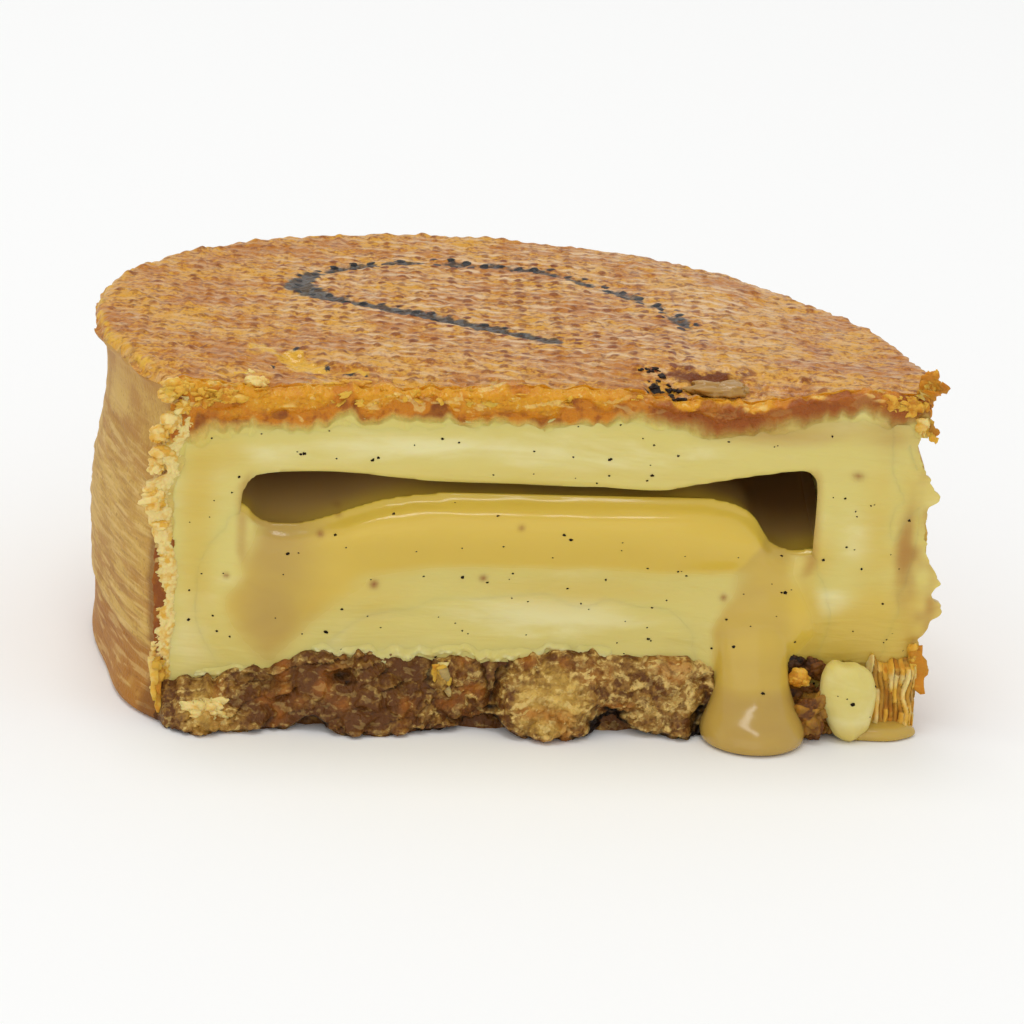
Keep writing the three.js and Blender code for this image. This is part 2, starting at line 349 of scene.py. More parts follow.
def joined(surfaces: list[Surface]) -> Surface:
    """Several surfaces as one, each keeping its own points."""
    starts = np.cumsum([0] + [len(s.points) for s in surfaces[:-1]])
    return Surface(
        np.vstack([s.points for s in surfaces]),
        np.vstack([s.quads + k for s, k in zip(surfaces, starts)]),
        np.vstack([s.triangles + k for s, k in zip(surfaces, starts)]),
    )


def repeated(unit: Surface, placed: Array) -> Surface:
    """One surface's faces over many sets of its points.

    Args:
        unit: The shape that is repeated.
        placed: Its points at each place, as (places, points, 3).

    Returns:
        All the copies as one surface.
    """
    places, count, _ = placed.shape
    shift = (np.arange(places) * count)[:, None, None]
    return Surface(
        placed.reshape(-1, 3),
        (unit.quads[None] + shift).reshape(-1, 4),
        (unit.triangles[None] + shift).reshape(-1, 3),
    )


def make_object(name: str, surface: Surface) -> bpy.types.Object:
    """A Blender object from a surface, in metres, smooth and at the origin.

    Args:
        name: The object's name.
        surface: Its points and faces.

    Returns:
        The new object, linked to the scene.
    """
    mesh = bpy.data.meshes.new(name)
    corners = np.concatenate([surface.quads.ravel(), surface.triangles.ravel()])
    sizes = np.repeat([4, 3], [len(surface.quads), len(surface.triangles)])
    starts = np.concatenate([[0], np.cumsum(sizes)[:-1]])
    mesh.vertices.add(len(surface.points))
    mesh.vertices.foreach_set("co", (surface.points * MM).astype(np.float32).ravel())
    mesh.loops.add(len(corners))
    mesh.loops.foreach_set("vertex_index", corners.astype(np.int32))
    mesh.polygons.add(len(sizes))
    mesh.polygons.foreach_set("loop_start", starts.astype(np.int32))
    mesh.update(calc_edges=True)
    mesh.validate()
    shade_smooth(mesh)
    made = bpy.data.objects.new(name, mesh)
    bpy.context.scene.collection.objects.link(made)
    return made


def shade_smooth(mesh: bpy.types.Mesh, sharp_above: float | None = None) -> None:
    """Smooth shading, with edges sharper than an angle kept sharp.

    Args:
        mesh: The mesh to shade.
        sharp_above: That angle in degrees, or None for no sharp edges.
    """
    mesh.polygons.foreach_set("use_smooth", np.ones(len(mesh.polygons), bool))
    if sharp_above is not None:
        mesh.set_sharp_from_angle(angle=math.radians(sharp_above))
    mesh.update()


def points_of(piece: bpy.types.Object) -> Array:
    """A piece's points in millimetres."""
    flat = np.empty(3 * len(piece.data.vertices), np.float32)
    piece.data.vertices.foreach_get("co", flat)
    return flat.reshape(-1, 3).astype(float) / MM


def move_points(piece: bpy.types.Object, points: Array) -> None:
    """Gives a piece new points, in millimetres."""
    piece.data.vertices.foreach_set("co", (points * MM).astype(np.float32).ravel())
    piece.data.update()


def mark(piece: bpy.types.Object, name: str, values: Array) -> None:
    """Stores one number for each of a piece's points, for its finish to read."""
    layer = piece.data.attributes.new(name, "FLOAT", "POINT")
    layer.data.foreach_set("value", np.asarray(values, np.float32))


class Carving(Enum):
    """What is kept where one solid meets another."""

    TAKE_AWAY = "DIFFERENCE"
    KEEP_SHARED = "INTERSECT"
    FUSE = "UNION"


def settle(piece: bpy.types.Object) -> None:
    """Makes a piece's modifiers part of its mesh."""
    bpy.context.view_layer.update()
    graph = bpy.context.evaluated_depsgraph_get()
    old = piece.data
    made = bpy.data.meshes.new_from_object(piece.evaluated_get(graph))
    piece.modifiers.clear()
    piece.data = made
    made.name = piece.name
    bpy.data.meshes.remove(old)


def carve(piece: bpy.types.Object, tool: bpy.types.Object, how: Carving) -> None:
    """Cuts a piece with another closed piece, which is then thrown away.

    Args:
        piece: What is cut.
        tool: What it is cut with.
        how: What is kept.
    """
    modifier = piece.modifiers.new("carve", "BOOLEAN")
    modifier.operation = how.value
    modifier.object = tool
    modifier.solver = "MANIFOLD"
    settle(piece)
    spare = tool.data
    bpy.data.objects.remove(tool)
    bpy.data.meshes.remove(spare)


def coat_with(piece: bpy.types.Object, materials: list[bpy.types.Material], index: int = 0) -> None:
    """Gives a piece its materials, with every face on one of them.

    Args:
        piece: The piece.
        materials: Its materials, in slot order.
        index: The slot that every face takes.
    """
    piece.data.materials.clear()
    for material in materials:
        piece.data.materials.append(material)
    piece.data.polygons.foreach_set("material_index", np.full(len(piece.data.polygons), index))


def hand_over(piece: bpy.types.Object, nodes: tuple[str, ...] = ()) -> None:
    """Lets a finished piece ride on the tart's one body, and hides the solids that it stands for.

    Args:
        piece: The piece.
        nodes: The solids that it stands for.
    """
    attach(piece, "root")
    if nodes:
        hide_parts(*nodes)
    LOG.info("%s: %d faces", piece.name, len(piece.data.polygons))


def finished_piece(
    name: str,
    surface: Surface,
    finish: bpy.types.Material,
    marks: dict[str, Array],
    nodes: tuple[str, ...] = (),
) -> bpy.types.Object:
    """A piece made, finished, marked and handed over.

    Args:
        name: The piece's name.
        surface: Its points and faces.
        finish: Its material.
        marks: The numbers that its finish reads, by name.
        nodes: The solids that it stands for.

    Returns:
        The finished piece.
    """
    piece = make_object(name, surface)
    coat_with(piece, [finish])
    for key, values in marks.items():
        mark(piece, key, values)
    hand_over(piece, nodes)
    return piece


def slab_piece(
    name: str,
    front: tuple[Array, Array, Array],
    back: float,
    finish: bpy.types.Material,
    marks: dict[str, Array],
    behind: dict[str, float],
) -> None:
    """A finished piece with a grid for its front and a flat back.

    Args:
        name: The piece's name.
        front: The grid's x, y and z.
        back: Where the flat back lies along y.
        finish: Its material.
        marks: The numbers that its finish reads at the front, by name.
        behind: The number at the back, for each mark that isn't 0 there.
    """
    surface = slab_surface(np.stack(front, axis=-1), 1, back)
    rest = np.zeros(front[0].size)
    both = {
        key: np.concatenate([values.ravel(), rest + behind.get(key, 0.0)])
        for key, values in marks.items()
    }
    finished_piece(name, surface, finish, both)


# Finishes


class Value:
    """A number in a material's nodes. Arithmetic on it adds Math nodes."""

    def __init__(self, sketch: "NodeSketch", socket: bpy.types.NodeSocket) -> None:
        """Wraps a socket that gives a number."""
        self.sketch = sketch
        self.socket = socket

    def _math(self, operation: str, first: object, second: object) -> "Value":
        """One Math node on two numbers."""
        made = self.sketch.node("ShaderNodeMath", {"operation": operation}, {0: first, 1: second})
        return Value(self.sketch, made.outputs[0])

    def __add__(self, other: object) -> "Value":
        """self + other."""
        return self._math("ADD", self, other)

    def __radd__(self, other: object) -> "Value":
        """other + self."""
        return self._math("ADD", other, self)

    def __sub__(self, other: object) -> "Value":
        """self - other."""
        return self._math("SUBTRACT", self, other)

    def __rsub__(self, other: object) -> "Value":
        """other - self."""
        return self._math("SUBTRACT", other, self)

    def __mul__(self, other: object) -> "Value":
        """self * other."""
        return self._math("MULTIPLY", self, other)

    def __rmul__(self, other: object) -> "Value":
        """other * self."""
        return self._math("MULTIPLY", other, self)

    def fraction(self) -> "Value":
        """What is left over the whole number below."""
        return self._math("FRACT", self, 0.0)

    def size(self) -> "Value":
        """The number without its sign."""
        return self._math("ABSOLUTE", self, 0.0)

    def rise(self, low: float, high: float) -> "Value":
        """A smooth step from 0 at low to 1 at high."""
        made = self.sketch.node(
            "ShaderNodeMapRange",
            {"interpolation_type": "SMOOTHSTEP"},
            {"Value": self, "From Min": low, "From Max": high},
        )
        return Value(self.sketch, made.outputs[0])


class NodeSketch:
    """One material's nodes, written as expressions."""

    def __init__(self, name: str) -> None:
        """Starts a material with a plain shader."""
        self.material = bpy.data.materials.new(name)
        self.material.use_nodes = True
        self.tree = self.material.node_tree
        self.shader = self.tree.nodes["Principled BSDF"]

    def node(
        self, kind: str, settings: dict | None = None, sockets: dict | None = None
    ) -> bpy.types.Node:
        """Adds a node.

        Args:
            kind: The node's type.
            settings: Its settings, which are set first.
            sockets: Values or links of its sockets, by name or number.

        Returns:
            The new node.
        """
        made = self.tree.nodes.new(kind)
        for key, value in (settings or {}).items():
            setattr(made, key, value)
        for key, value in (sockets or {}).items():
            self.feed(made.inputs[key], value)
        return made

    def feed(self, socket: bpy.types.NodeSocket, value: object) -> None:
        """Links or sets one socket."""
        if isinstance(value, Value):
            value = value.socket
        if isinstance(value, bpy.types.NodeSocket):
            self.tree.links.new(value, socket)
        elif isinstance(value, tuple) and len(value) == 3 and socket.type == "RGBA":
            socket.default_value = (*value, 1.0)
        else:
            socket.default_value = value

    def place(self, scale: tuple = (1, 1, 1), turn: float = 0.0) -> bpy.types.NodeSocket:
        """Where a point is, in metres, turned about Z and then scaled.

        Args:
            scale: Factor along each axis.
            turn: Angle in radians.

        Returns:
            A vector socket.
        """
        here = self.node("ShaderNodeTexCoord").outputs["Object"]
        if turn:
            here = self.node(
                "ShaderNodeMapping", None, {"Vector": here, "Rotation": (0, 0, turn)}
            ).outputs[0]
        if tuple(scale) != (1, 1, 1):
            here = self.node("ShaderNodeMapping", None, {"Vector": here, "Scale": scale}).outputs[0]
        return here

    def noise(self, size: float, detail: float = 3.0, at: object = None, warp: float = 0.0) -> Value:
        """Noise from 0 to 1.

        Args:
            size: The size of its features, in metres.
            detail: How many finer layers it has.
            at: Where to look, or None for the point itself.
            warp: How far it is stirred.

        Returns:
            The noise.
        """
        made = self.node(
            "ShaderNodeTexNoise",
            None,
            {
                "Vector": at if at is not None else self.place(),
                "Scale": 1.0 / size,
                "Detail": detail,
                "Distortion": warp,
            },
        )
        return Value(self, made.outputs["Fac"])

    def mark(self, name: str) -> Value:
        """A number stored at the piece's points."""
        made = self.node("ShaderNodeAttribute", {"attribute_name": name})
        return Value(self, made.outputs["Fac"])

    def blend(self, share: object, first: object, second: object) -> bpy.types.NodeSocket:
        """Two colours mixed.

        Args:
            share: How much of the second.
            first: The first colour.
            second: The second colour.

        Returns:
            A colour socket.
        """
        made = self.node(
            "ShaderNodeMix",
            {"data_type": "RGBA", "blend_type": "MIX", "clamp_factor": True},
            {0: share, 6: first, 7: second},
        )
        return made.outputs[2]

    def relief(self, height: Value, depth: float, strength: float) -> bpy.types.NodeSocket:
        """A bumped normal."""
        sockets = {"Height": height, "Distance": depth, "Strength": strength}
        return self.node("ShaderNodeBump", None, sockets).outputs[0]

    def finish(self, **sockets: object) -> bpy.types.Material:
        """Feeds the shader, with words in socket names joined by underscores.

        Args:
            **sockets: Values or links.

        Returns:
            The finished material.
        """
        for key, value in sockets.items():
            self.feed(self.shader.inputs[key.replace("_", " ")], value)
        return self.material


@dataclass(frozen=True)
class TopCrustFinish:
    """Glazed, laminated top: orange, with pale smears between the rows, partly glaze and partly painted
    reflection, and the mat's red-brown pegs.
    """

    golden: Colour = (0.68, 0.330, 0.030)
    orange: Colour = (0.48, 0.165, 0.012)
    brown: Colour = (0.24, 0.062, 0.007)
    cream_and_sheen: Colour = (0.80, 0.56, 0.32)
    peg: Colour = (0.20, 0.040, 0.006)
    slate: Colour = (0.012, 0.012, 0.013)
    ash: Colour = (0.075, 0.105, 0.120)
    yolk: Colour = (0.78, 0.43, 0.016)
    syrup: Colour = (0.17, 0.040, 0.004)
    char: Colour = (0.012, 0.006, 0.004)
    rim: Colour = (0.80, 0.47, 0.055)
    row_turn: float = math.radians(11)

    def material(self) -> bpy.types.Material:
        """The finished material."""
        s = NodeSketch("top_crust")
        grain = s.noise(0.0005, 3.0)
        small = s.noise(0.0011, 3.0)
        patches = s.noise(0.0065, 3.0)
        smear = s.noise(0.0015, 3.0, s.place((0.40, 1.0, 1.0), self.row_turn), 0.8)
        streak = s.noise(0.0008, 2.0, s.place((0.26, 1.0, 1.0), self.row_turn), 0.5)
        base = s.blend((patches + 0.8 * grain - 0.4).rise(0.34, 0.62), self.golden, self.orange)
        base = s.blend((small + 0.5 * grain - 0.25).rise(0.50, 0.68) * 0.55, base, self.brown)
        row = (s.mark("row") + 0.25 * s.noise(0.004, 2.0)).fraction() - 0.5
        amid = 0.25 + 0.75 * row.size().rise(0.38, 0.12)
        # Pale smears between the rows: partly pale glaze, partly painted reflection of the lights on the
        # glaze.
        glaze_sheen = 0.30 + 0.70 * s.mark("glaze_sheen")
        base = s.blend(smear.rise(0.40, 0.64) * amid * glaze_sheen * 0.85, base, self.cream_and_sheen)
        # Thin pale strands: pale glaze, partly painted highlight.
        strand = streak.rise(0.55, 0.66) * s.noise(0.0030, 3.0).rise(0.48, 0.68)
        base = s.blend(strand * 0.55, base, self.cream_and_sheen)
        spot = (s.mark("peg") + 0.6 * grain - 0.3).rise(0.12, 0.80)
        base = s.blend(spot * (0.52 + 0.45 * s.mark("middle")), base, self.peg)
        base = s.blend(s.mark("rim") * small.rise(0.34, 0.60), base, self.rim)
        ragged = s.noise(0.0012, 3.0)
        seam = (s.mark("seam") + 1.2 * ragged - 0.6).rise(0.30, 0.75)
        stone = s.blend(s.noise(0.0011, 2.0).rise(0.46, 0.62), self.slate, self.ash)
        base = s.blend(seam * 0.9, base, stone)
        base = s.blend((s.mark("soot") + 0.8 * grain - 0.4).rise(0.30, 0.7), base, self.slate)
        base = s.blend((s.mark("tear") + 0.7 * small - 0.35).rise(0.15, 1.0) * 0.85, base, self.yolk)
        base = s.blend((s.mark("browned") + 1.4 * small + 0.8 * grain - 1.1).rise(0.0, 0.9), base, self.syrup)
        base = s.blend((s.mark("burn") + grain - 0.5).rise(0.25, 0.6), base, self.char)
        bumpy = s.relief(small * 0.8 + grain * 0.6 + strand * 0.4 + smear * 0.5, 0.0005, 0.9)
        return s.finish(
            Base_Color=base,
            Roughness=0.24 + 0.3 * small,
            Normal=bumpy,
            Coat_Weight=s.mark("wet") * 0.42,
            Coat_Roughness=0.08,
            Specular_IOR_Level=0.14,
            Subsurface_Weight=0.05,
            Subsurface_Radius=(1.0, 0.4, 0.12),
            Subsurface_Scale=0.001,
        )


@dataclass(frozen=True)
class SideWallFinish:
    """Baked wall: tan, finely layered, more orange near the table, with painted shade in the crease by the
    cut.
    """

    tan: Colour = (0.47, 0.240, 0.036)
    pale: Colour = (0.62, 0.385, 0.085)
    orange: Colour = (0.40, 0.155, 0.018)
    edge: Colour = (0.76, 0.53, 0.19)
    pore: Colour = (0.20, 0.072, 0.012)
    rim: Colour = (0.78, 0.46, 0.05)

    def material(self) -> bpy.types.Material:
        """The finished material."""
        s = NodeSketch("side_wall")
        z = Value(s, s.node("ShaderNodeSeparateXYZ", None, {0: s.place()}).outputs[2])
        level = s.place((0.10, 0.10, 1.0))
        bands = s.noise(0.0014, 3.0, level, 0.3)
        lines = s.noise(0.00055, 2.0, level, 0.2)
        patches = s.noise(0.007, 3.0)
        grain = s.noise(0.0005, 3.0)
        layered = z.rise(0.036, 0.028)
        base = s.blend((patches + 0.4 * grain - 0.2).rise(0.36, 0.64), self.tan, self.pale)
        base = s.blend(bands.rise(0.54, 0.40) * (0.15 + 0.40 * layered), base, self.orange)
        base = s.blend(z.rise(0.012, 0.020) * z.rise(0.032, 0.024) * 0.40, base, self.pale)
        low = z.rise(0.0085, 0.0068) * s.noise(0.005, 2.0).rise(0.20, 0.40)
        base = s.blend(low * 0.85, base, self.orange)
        base = s.blend(z.rise(0.034, 0.040) * 0.35, base, self.orange)
        base = s.blend(lines.rise(0.52, 0.66) * layered * 0.40, base, self.edge)
        base = s.blend(s.mark("ledge") * lines.rise(0.44, 0.60) * 0.40, base, self.edge)
        base = s.blend(lines.rise(0.44, 0.34) * layered * 0.22, base, self.pore)
        base = s.blend(s.noise(0.0006, 2.0).rise(0.64, 0.72) * 0.4, base, self.pore)
        # Painted shade in the crease along the cut, in the pore colour.
        base = s.blend(s.mark("crease_shade"), base, self.pore)
        base = s.blend(s.mark("rim") * 0.9, base, self.rim)
        bumpy = s.relief(grain * 0.6 + bands * layered + lines * layered, 0.0003, 0.8)
        return s.finish(
            Base_Color=base,
            Roughness=0.46 + 0.2 * grain,
            Normal=bumpy,
            Specular_IOR_Level=0.2,
            Subsurface_Weight=0.05,
            Subsurface_Radius=(1.0, 0.45, 0.15),
            Subsurface_Scale=0.001,
        )


@dataclass(frozen=True)
class CutCrustFinish:
    """Moist torn pastry at the cut: golden at its edge, amber and russet below, custard where it ends, with
    painted shade in its pits.
    """

    golden: Colour = (0.71, 0.318, 0.014)
    amber: Colour = (0.60, 0.210, 0.010)
    honey: Colour = (0.66, 0.43, 0.095)
    tan: Colour = (0.42, 0.205, 0.038)
    russet: Colour = (0.33, 0.085, 0.009)
    brown: Colour = (0.20, 0.050, 0.007)
    pale: Colour = (0.88, 0.66, 0.22)

    def material(self) -> bpy.types.Material:
        """The finished material."""
        s = NodeSketch("cut_crust")
        cloud = s.noise(0.0030, 4.0)
        patch = s.noise(0.0019, 3.0)
        grain = s.noise(0.0006, 3.0)
        upright = s.noise(0.0012, 3.0, s.place((1.0, 1.0, 0.3)), 0.5)
        upper, russet = s.mark("upper"), s.mark("russet")
        base = s.blend((upper + 2.2 * patch + 0.5 * grain - 1.40).rise(0.20, 1.05), self.amber, self.golden)
        blotch = (patch + 0.4 * upright - 0.2).rise(0.48, 0.64) * (1.0 - upper)
        base = s.blend(blotch * 0.8, base, self.russet)
        base = s.blend((russet + 0.9 * cloud - 0.45).rise(0.20, 0.95), base, self.russet)
        # Painted shade: brown in the crust's pits and in the gap at the case's left end.
        base = s.blend((s.mark("recess_shade") + 0.6 * grain - 0.3).rise(0.2, 0.9) * 0.7, base, self.brown)
        strand = s.noise(0.0022, 2.0, s.place((0.5, 1.0, 1.2)), 0.9).rise(0.60, 0.66)
        base = s.blend(strand * 0.5 * (1.0 - russet), base, self.pale)
        base = s.blend(grain.rise(0.60, 0.70) * 0.5 * upper * (1.0 - russet), base, self.pale)
        cover = s.mark("cover") + 0.7 * cloud + 0.4 * upright - 0.55
        melt = s.blend(russet, self.honey, self.tan)
        base = s.blend(cover.rise(0.35, 0.95), melt, base)
        crust = cover.rise(0.0, 0.60)
        base = s.blend(crust, CustardFinish().colour(s), base)
        bumpy = s.relief((grain + cloud + patch) * crust, 0.0004, 0.8)
        return s.finish(
            Base_Color=base,
            Roughness=0.38 - 0.22 * crust + 0.24 * cloud * crust,
            Normal=bumpy,
            Specular_IOR_Level=0.22,
            Subsurface_Weight=0.25,
            Subsurface_Radius=(1.0, 0.5, 0.14),
            Subsurface_Scale=0.0015,
        )


@dataclass(frozen=True)
class TornBaseFinish:
    """Crumbly soaked base: brown to tan by its crumbs, golden on its clumps with some painted light,
    near-black painted shade in its gaps and cracks.
    """

    brown: Colour = (0.125, 0.042, 0.007)
    tan: Colour = (0.33, 0.165, 0.032)
    crumb: Colour = (0.72, 0.50, 0.16)
    golden: Colour = (0.70, 0.44, 0.080)
    orange: Colour = (0.42, 0.130, 0.012)
    gap_shade: Colour = (0.012, 0.005, 0.002)

    def material(self) -> bpy.types.Material:
        """The finished material."""
        s = NodeSketch("torn_base")
        cloud = s.noise(0.003, 4.0)
        grain = s.noise(0.0006, 3.0)
        small = s.noise(0.0013, 3.0)
        tone = s.mark("tone") + 0.5 * cloud + 0.8 * grain + 0.7 * small - 1.1
        base = s.blend(tone.rise(0.05, 0.50), self.brown, self.tan)
        base = s.blend(tone.rise(0.42, 0.85), base, self.crumb)
        # Golden on the clumps: their paler crumb, and painted light where they stand forward.
        light = (s.mark("light") + cloud + 0.5 * grain - 0.75).rise(0.30, 0.90)
        base = s.blend(light * 0.5, base, self.golden)
        base = s.blend((s.mark("warm") + 0.6 * cloud - 0.3).rise(0.45, 0.85) * 0.7, base, self.orange)
        fleck = s.noise(0.0009, 2.0, s.place((0.7, 1.0, 1.0)), 0.5).rise(0.56, 0.62)
        base = s.blend(fleck * (0.25 + tone.rise(0.1, 0.6)) * 0.8, base, self.crumb)
        shade = s.noise(0.0018, 3.0, s.place((0.7, 1.0, 1.2)), 0.6).rise(0.54, 0.66)
        base = s.blend(shade * 0.6 * (1.0 - 0.7 * s.mark("light")), base, self.brown)
        # Painted shade: near-black where the dark mark is high.
        base = s.blend((s.mark("dark") + 0.5 * small - 0.25).rise(0.15, 0.90), base, self.gap_shade)
        bumpy = s.relief(grain + small, 0.0004, 0.9)
        return s.finish(
            Base_Color=base,
            Roughness=0.22 + 0.35 * cloud,
            Normal=bumpy,
            Specular_IOR_Level=0.22,
            Subsurface_Weight=0.1,
            Subsurface_Radius=(1.0, 0.5, 0.15),
            Subsurface_Scale=0.0008,
        )


@dataclass(frozen=True)
class CustardFinish:
    """Set custard: pale yellow, cloudy, soft, with golden stains where the caramel has run, and painted shade
    inside the pocket.
    """

    custard: Colour = (0.69, 0.575, 0.165)
    pale: Colour = (0.79, 0.71, 0.34)
    golden: Colour = (0.66, 0.470, 0.078)
    amber: Colour = (0.44, 0.22, 0.035)
    rust: Colour = (0.30, 0.095, 0.012)
    deep_shade: Colour = (0.22, 0.100, 0.030)

    def colour(self, s: NodeSketch) -> bpy.types.NodeSocket:
        """The custard's colour without its seeds and shadows, from the marks of its stains."""
        cloud = s.noise(0.008, 4.0, s.place((0.55, 1.0, 1.5)), 0.6)
        smear = s.noise(0.0045, 4.0, s.place((0.35, 1.0, 1.3)), 1.2)
        stir = 0.6 * (cloud - 0.5)
        # Paler where the pale marks are: pale smears, and painted highlight where the cut bulges below the
        # tongue.
        paler = (s.mark("pale") + cloud + 0.6 * smear - 0.6).rise(0.20, 0.75)
        base = s.blend(paler, self.custard, self.pale)
        base = s.blend((s.mark("stain") + stir).rise(0.05, 0.95), base, self.golden)
        return s.blend((s.mark("amber") + stir).rise(0.10, 1.0), base, self.amber)

    def material(self) -> bpy.types.Material:
        """The finished material."""
        s = NodeSketch("custard")
        base = s.blend(s.mark("rust"), self.colour(s), self.rust)
        # Painted shade: darker inside the pocket's mouth.
        base = s.blend(s.mark("inside"), base, self.deep_shade)
        drag = s.noise(0.0024, 3.0, s.place((0.25, 1.0, 1.5)), 0.5)
        bumpy = s.relief(drag, 0.0004, 0.5)
        return s.finish(
            Base_Color=base,
            Roughness=0.34 + 0.12 * drag,
            Normal=bumpy,
            Specular_IOR_Level=0.45,
            Subsurface_Weight=0.35,
            Subsurface_Radius=(1.0, 0.7, 0.2),
            Subsurface_Scale=0.0018,
        )


@dataclass(frozen=True)
class CaramelFinish:
    """Wet caramel: the custard's own colour where it thins out, then golden, with painted shade that darkens
    it to brown in the pocket.
    """

    golden: Colour = (0.69, 0.485, 0.070)
    brown: Colour = (0.46, 0.290, 0.066)
    rust: Colour = (0.30, 0.095, 0.012)
    shade: Colour = (0.43, 0.270, 0.090)
    deep_shade: Colour = (0.21, 0.105, 0.040)

    def material(self) -> bpy.types.Material:
        """The finished material."""
        s = NodeSketch("caramel")
        cloud = s.noise(0.009, 4.0, s.place((0.6, 1.0, 1.3)), 0.7)
        stir = 0.5 * (cloud - 0.5)
        wet = (s.mark("body") + 0.6 * stir).rise(0.10, 0.90)
        base = s.blend((s.mark("brown") + stir).rise(0.05, 0.95), self.golden, self.brown)
        base = s.blend(wet, CustardFinish().colour(s), base)
        base = s.blend(s.mark("rust"), base, self.rust)
        # Painted shade inside the pocket: the shade colour first, then darker still further back.
        base = s.blend(s.mark("inside").rise(0.0, 0.45), base, self.shade)
        base = s.blend(s.mark("inside").rise(0.3, 1.0), base, self.deep_shade)
        return s.finish(
            Base_Color=base,
            Roughness=0.40 - 0.29 * wet + 0.05 * cloud * wet,
            Normal=s.relief(s.noise(0.0024, 3.0, s.place((0.25, 1.0, 1.5)), 0.5) * (1.0 - wet), 0.0004, 0.5),
            Specular_IOR_Level=0.45,
            Subsurface_Weight=0.35,
            Subsurface_Radius=(1.0, 0.7, 0.2),
            Subsurface_Scale=0.0018,
        )


@dataclass(frozen=True)
class SpeckFinish:
    """Vanilla seeds."""

    seed: Colour = (0.014, 0.009, 0.004)

    def material(self) -> bpy.types.Material:
        """The finished material."""
        s = NodeSketch("vanilla_speck")
        return s.finish(Base_Color=self.seed, Roughness=0.7 + 0.1 * s.noise(0.001), Specular_IOR_Level=0.1)


@dataclass(frozen=True)
class FlakeFinish:
    """Torn flakes and crumbs: golden, pale or amber by their tone, brown where they are dark, which is partly
    painted shade in crevices and cracks.
    """

    golden: Colour = (0.74, 0.41, 0.048)
    pale: Colour = (0.84, 0.65, 0.25)
    amber: Colour = (0.58, 0.23, 0.014)
    brown: Colour = (0.17, 0.060, 0.012)
    char: Colour = (0.020, 0.009, 0.005)

    def material(self) -> bpy.types.Material:
        """The finished material."""
        s = NodeSketch("pastry_flake")
        tone = s.mark("tone")
        cloud = s.noise(0.0016, 3.0)
        base = s.blend((tone + cloud - 0.5).rise(0.45, 0.85), self.golden, self.pale)
        base = s.blend((tone + cloud - 0.5).rise(0.35, 0.05), base, self.amber)
        base = s.blend((s.mark("dark") + 0.6 * cloud - 0.3).rise(0.20, 0.95), base, self.brown)
        base = s.blend(s.mark("dark").rise(0.95, 1.25), base, self.char)
        bumpy = s.relief(s.noise(0.0005, 3.0), 0.0002, 0.8)
        return s.finish(
            Base_Color=base,
            Roughness=0.32 + 0.25 * cloud,
            Normal=bumpy,
            Specular_IOR_Level=0.2,
            Subsurface_Weight=0.3,
            Subsurface_Radius=(1.0, 0.5, 0.15),
            Subsurface_Scale=0.001,
        )


@dataclass(frozen=True)
class FloorFinish:
    """A plain pale floor."""

    white: Colour = (0.95, 0.952, 0.955)

    def material(self) -> bpy.types.Material:
        """The finished material."""
        s = NodeSketch("pale_floor")
        return s.finish(Base_Color=self.white, Roughness=0.7, Specular_IOR_Level=0.2)


# The tart


